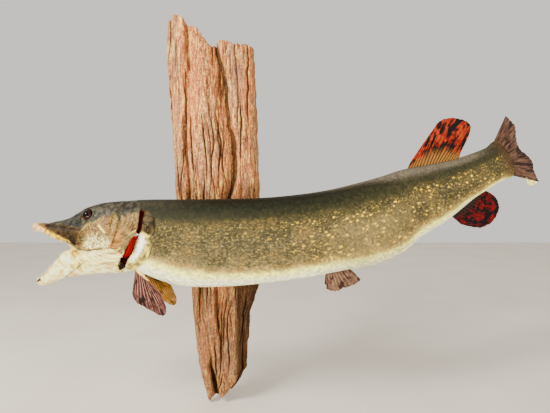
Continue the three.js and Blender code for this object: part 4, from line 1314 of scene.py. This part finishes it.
# The slab from the foot to the top, as in the solids: height, left, right, thickness.
SLAB = np.array([
    [-427, -34, 18, 16], [-398, -36, 26, 28], [-375, -40, 43, 37], [-352, -45, 56, 44],
    [-296, -53, 59, 52], [-226, -59, 65, 59], [-174, -63, 83, 66], [-80, -78, 84, 83],
    [17, -93, 85.5, 83], [169, -103.5, 80, 74], [259, -111, 77, 68], [324, -116.5, 73, 62],
    [407, -115, 70, 50],
])
SLAB_TOP = [398, 409, 405, 383, 379, 357, 342, 350, 348, 342, 344, 343]
SLAB_FOOT = [-398, -427, -416, -414, -416, -409, -398]
EDGE_THICK = 0.38
# Grooves down the face: heights, centre x and depth at each height, half width on the right and
# half width at each height on the left, where a lobe's flank slopes in.
GROOVES = {
    "main cleft": ([370, 300, 248, 166, 122, 68, 19, -60, -180, -290, -340],
                   [-18, 4, 17, 20, 33, 33, 24, 36, 42, 42, 38],
                   [14, 24, 27, 24, 26, 24, 20, 16, 9, 5, 0], 7,
                   [26, 26, 22, 20, 20, 16, 9, 8, 8, 8, 8]),
    "left crack": ([400, 300, 230, 160, 20, -170, -300],
                   [-70, -63, -58, -72, -56, -36, -28],
                   [14, 12, 3, 13, 14, 14, 0], 4, [4, 4, 4, 4, 5, 7, 7]),
    "lower crack": ([-120, -178, -256, -300], [-6, -5, -1, 0], [0, 13, 10, 0], 4, [4, 4, 4, 4]),
    "foot split": ([-300, -345, -380, -412], [-23, -17, -11, -8], [0, 16, 26, 20], 5, [5, 5, 5, 5]),
}
FINE_CRACKS = 70  # how many shallow cracks run down the face, up to 6.5 mm deep
# The heights between which the fish lies on the slab, and its mid-plane there.
FISH_LOW, FISH_HIGH, FISH_MIDDLE_Y = -165, 30, -131
SKIRT_STEPS = 7  # rings of points from the face's rim to the flat back


def wood_front(x, z, across):
    """Depth of the face, and how much painted shade each point takes in the grooves, the cracks and on a
    lobe's flank that slopes into a groove.
    """
    thick = np.interp(z, SLAB[:, 0], SLAB[:, 3])
    sides = np.sqrt(np.maximum(0, 1 - np.abs(2 * across - 1) ** 3))
    depth = thick * (EDGE_THICK + (1 - EDGE_THICK) * sides)
    cleft = np.zeros_like(depth)
    wander = 2.5 * lattice(z / 38, z * 0, 21) + 1.0 * lattice(z / 11, z * 0, 22)
    for heights, centres, depths, right, left in GROOVES.values():
        off = x - np.interp(z, heights[::-1], centres[::-1]) - wander
        width = np.where(off > 0, right, np.interp(z, heights[::-1], left[::-1]))
        reach = np.interp(z, heights[::-1], depths[::-1])
        reach = reach * ((z < heights[0] + 20) & (z > heights[-1] - 20))
        depth -= reach * np.exp(-(off / width) ** 2)
        # Painted shade deep in the groove, and across the lobe's flank that slopes into it on the left.
        cleft = np.maximum(cleft, reach / 20 * np.exp(-(off / np.minimum(width, 5)) ** 2))
        cleft = np.maximum(cleft, (off < 0) * (width > 9) * 0.5 * np.exp(-(off / width) ** 2))
    depth -= 18 * smooth(34, 48, x) * smooth(-90, -150, z)
    rng = np.random.default_rng(3)
    for _ in range(FINE_CRACKS):
        at = rng.uniform(0.04, 0.96)
        middle, long = rng.uniform(-400, 380), rng.uniform(40, 150)
        width, deep = rng.uniform(0.9, 2.1), rng.uniform(2.0, 6.5)
        fade = np.clip(1 - ((z - middle) / long) ** 2, 0, 1)
        line = at + 0.03 * lattice(z / 60 + at * 50, z * 0, 31)
        width_mm = np.interp(z, SLAB[:, 0], SLAB[:, 2] - SLAB[:, 1])
        cut = deep * fade * np.exp(-((across - line) * width_mm / width) ** 2)
        depth -= cut
        # Painted shade in the fine crack.
        cleft = np.maximum(cleft, cut / 5)
    lean = x + 5 * lattice(z / 70, x / 40, 12)
    grain = (1.5 * lattice(lean / 7, z / 80, 13) + 1.0 * lattice(lean / 3.4, z / 30, 14)
             + 0.6 * lattice(lean / 2.1, z / 11, 15) + 0.4 * lattice(x / 2.4, z / 3.2, 18))
    hollow = 3.2 * lattice(x / 30, z / 75, 16) + 1.8 * lattice(x / 14, z / 22, 17)
    edge_fade = smooth(0, 0.04, across) * smooth(1, 0.96, across)
    depth += (grain + hollow) * edge_fade - 2.0
    return np.maximum(depth, 7), np.clip(cleft - 0.10 * grain, 0, 1)


def build_driftwood():
    """The slab: a weathered face, and sides that run back to the wall."""
    rows, columns = 560, 150
    up, across = unit_grid(rows, columns)
    jag = 2.2 * lattice(across * 38, up * 0, 41) + 1.4 * lattice(across * 90, up * 0, 42)
    top = through(SLAB_TOP, across * (len(SLAB_TOP) - 1)) - 2.5 + jag
    foot = through(SLAB_FOOT, across * (len(SLAB_FOOT) - 1)) + 2.5 + jag * 0.7
    z = foot + (top - foot) * up
    left = np.interp(z, SLAB[:, 0], SLAB[:, 1]) + 1.2 * lattice(z / 16, z * 0, 43) + 0.8
    right = np.interp(z, SLAB[:, 0], SLAB[:, 2]) + 1.2 * lattice(z / 13, z * 0, 44) - 0.8
    x = left + (right - left) * across
    depth, cleft = wood_front(x, z, across)
    depth = clear_of_fish(x, depth, z)
    front = np.stack([x, -depth, z], -1)
    border = ([(i, 0) for i in range(rows)] + [(rows - 1, j) for j in range(1, columns)]
              + [(i, columns - 1) for i in range(rows - 2, -1, -1)]
              + [(0, j) for j in range(columns - 2, 0, -1)])
    rim = np.array([front[i, j] for i, j in border])
    skirts = []
    for k in range(1, SKIRT_STEPS + 1):
        f = k / SKIRT_STEPS
        ring = rim.copy()
        ring[:, 1] *= 1 - f
        pinch = 1.5 * np.sin(np.pi * f) * lattice(ring[:, 2] / 9, np.full(len(ring), f * 4.0), 45)
        ring[:, 0] += pinch * np.sign(rim[:, 0]) * (1 if f < 1 else 0)
        skirts.append(ring)
    points = np.concatenate([front.reshape(-1, 3), *skirts])
    faces = grid_faces(rows, columns).tolist()
    loops = [[i * columns + j for i, j in border]]
    count = len(border)
    loops += [[rows * columns + k * count + m for m in range(count)] for k in range(SKIRT_STEPS)]
    for a, b in zip(loops[:-1], loops[1:]):
        for m in range(count):
            n = (m + 1) % count
            faces.append([a[m], a[n], b[n], b[m]])
    faces.append(loops[-1])
    piece = make_piece("driftwood_weathered", points, faces, "driftwood", replaces=["driftwood"])
    # The slab's sides take a faint painted shade.
    sides = np.full(SKIRT_STEPS * count, 0.15)
    set_values(piece.data, "cleft", np.concatenate([cleft.ravel(), sides]))
    return piece


def clear_of_fish(x, depth, z):
    """The face where the fish beds on it keeps just behind the trunk's skin."""
    points = np.stack([x, -depth, z], -1).reshape(-1, 3)
    touches = (points[:, 2] > FISH_LOW) & (points[:, 2] < FISH_HIGH)
    place = body_place(points[touches])
    skin = trunk_point(station_at(place), np.pi * place[:, 1])
    limit = np.full(len(points), 1e3)
    limit[touches] = -skin[:, 1] - 0.2
    inner = np.zeros(len(points), bool)
    inner[touches] = points[touches][:, 1] < skin[:, 1]
    inner &= points[:, 1] > FISH_MIDDLE_Y
    fixed = np.where(inner, np.minimum(-points[:, 1], limit), -points[:, 1])
    return fixed.reshape(depth.shape)


def wood_surface(piece):
    """Fibres along the grain, with painted shade in the clefts and low down on the right."""
    s = Surface("driftwood", Specular_IOR_Level=0.05)
    at = s.place()
    x, _, z = s.parts(at)
    fibre = s.noise(s.scaled(at, (1.0, 1.0, 0.10)), 260.0, 6.0, 0.7)
    fleck = s.noise(s.scaled(at, (1.0, 1.0, 0.30)), 560.0, 4.0, 0.7)
    broad = s.noise(s.scaled(at, (1.0, 1.0, 0.22)), 28.0, 4.0)
    weave = s.linear(fleck, 0.45, s.times(fibre, 0.55))
    colour = s.ramp(weave, [(0.39, rgb(96, 68, 50)), (0.46, rgb(178, 136, 104)),
                            (0.52, rgb(222, 182, 146)), (0.59, rgb(244, 219, 186))])
    colour = s.paint(colour, (220, 168, 122), s.step(0.46, 0.64, broad), 0.4)
    colour = s.paint(colour, (184, 152, 130), s.step(0.54, 0.36, broad), 0.45)
    low = s.step(-0.06, -0.26, z)
    colour = s.paint(colour, (174, 142, 118), low, 0.35)
    # Painted shade on the right flank low down.
    painted_shade_low_right = s.times(s.step(0.030, 0.042, x), s.step(-0.09, -0.14, z), 0.8)
    colour = s.paint(colour, (76, 54, 42), painted_shade_low_right)
    colour = s.paint(colour, (78, 48, 32), s.step(0.56, 0.68, s.noise(at, 330.0, 3.0)), 0.6)
    # Painted shade in the clefts, the fine cracks and on the sloping flank.
    cleft = s.value("cleft")
    colour = s.paint(colour, (58, 36, 26), s.step(0.12, 0.85, cleft), 0.85)
    normal = s.bump(fibre, 0.0030, 0.9)
    normal = s.bump(fleck, 0.0016, 0.8, normal)
    rough = s.linear(fibre, 0.25, 0.68)
    s.done(piece, Base_Color=colour, Roughness=rough, Normal=normal)


# ---------------------------------------------------------------- stage, light and camera

# The floor's height, just under the slab's foot, in metres.
FLOOR = -0.4285
FLOOR_REACH = 4
AIR_COLOUR, AIR_STRENGTH = (0.80, 0.77, 0.72, 1), 1.15
MIDDLE = Vector((0.1, -0.1, 0.0))  # what key and fill light point at
# Square lights: place, target, width in metres, power in watts and colour. The footlight lies on
# the floor in front of the mount and shines straight up.
LIGHTS = {
    "key": ((-1.3, -1.5, 1.3), MIDDLE, 0.8, 92.0, (1.0, 0.97, 0.92)),
    "fill": ((1.6, -1.9, 0.3), MIDDLE, 1.6, 16.0, (0.95, 0.97, 1.0)),
    "footlight": ((-0.1, -1.35, FLOOR + 0.01), Vector((-0.1, -1.35, 1.0)), 0.9, 60.0,
                  (1.0, 0.98, 0.95)),
}
FILM_WIDTH = 36  # in mm
# The lens guessed for the photo, and the photo's width, both in the photo's pixels.
FOCAL_PIXELS, PHOTO_PIXELS = 413, 550


def build_stage():
    """A pale floor, an even sky and the lights, which the camera doesn't see."""
    mesh = bpy.data.meshes.new("floor")
    corners = [(x * FLOOR_REACH, y * FLOOR_REACH, FLOOR)
               for x, y in ((-1, -1), (1, -1), (1, 1), (-1, 1))]
    mesh.from_pydata(corners, [], [(0, 1, 2, 3)])
    floor = bpy.data.objects.new("floor", mesh)
    bpy.context.scene.collection.objects.link(floor)
    s = Surface("pale floor", Roughness=0.8)
    shade = s.mix(s.noise(s.place(), 3.0), rgb(214, 210, 204), rgb(222, 219, 214))
    s.done(floor, Base_Color=shade)
    world = bpy.data.worlds.new("studio")
    world.use_nodes = True
    world.node_tree.nodes["Background"].inputs["Color"].default_value = AIR_COLOUR
    world.node_tree.nodes["Background"].inputs["Strength"].default_value = AIR_STRENGTH
    bpy.context.scene.world = world
    for name, (spot, target, size, power, colour) in LIGHTS.items():
        lamp = bpy.data.lights.new(name, "AREA")
        lamp.size = size
        lamp.energy = power
        lamp.color = colour
        light = bpy.data.objects.new(name, lamp)
        light.location = spot
        light.rotation_euler = (target - Vector(spot)).to_track_quat("-Z", "Y").to_euler()
        light.visible_camera = False
        bpy.context.scene.collection.objects.link(light)


def build_camera():
    """Square on to the mount, beside the trunk's middle, at a phone's angle of view."""
    data = bpy.data.cameras.new("camera")
    data.sensor_width = FILM_WIDTH
    data.lens = FILM_WIDTH * FOCAL_PIXELS / PHOTO_PIXELS
    camera = bpy.data.objects.new("camera", data)
    camera.location = (0.118, -0.915, 0.0)
    camera.rotation_euler = (np.pi / 2, 0, 0)
    bpy.context.scene.collection.objects.link(camera)
    bpy.context.scene.camera = camera


def main():
    """Builds the stage and every piece."""
    build_stage()
    build_camera()
    skin_surface(build_skin())
    scale_surface([build_scales(f"scales_{name}", side) for name, side in SIDES])
    for name, shape in FINS.items():
        paired = "root_off" in shape
        for label, side in SIDES if paired else (("", RIGHT),):
            full = f"{name}_{label}" if paired else name
            paint = FIN_COLOURS[f"{name}_{label}" if name == "pectoral_fin" else name]
            fin_surface(build_fin(full, shape, side), *paint)
    eye_surface([build_eye(f"eye_{name}", side) for name, side in SIDES])
    build_flap()
    build_teeth()
    build_tongue()
    gill_surface([build_gills(f"gills_{name}", side) for name, side in SIDES])
    wood_surface(build_driftwood())


main()
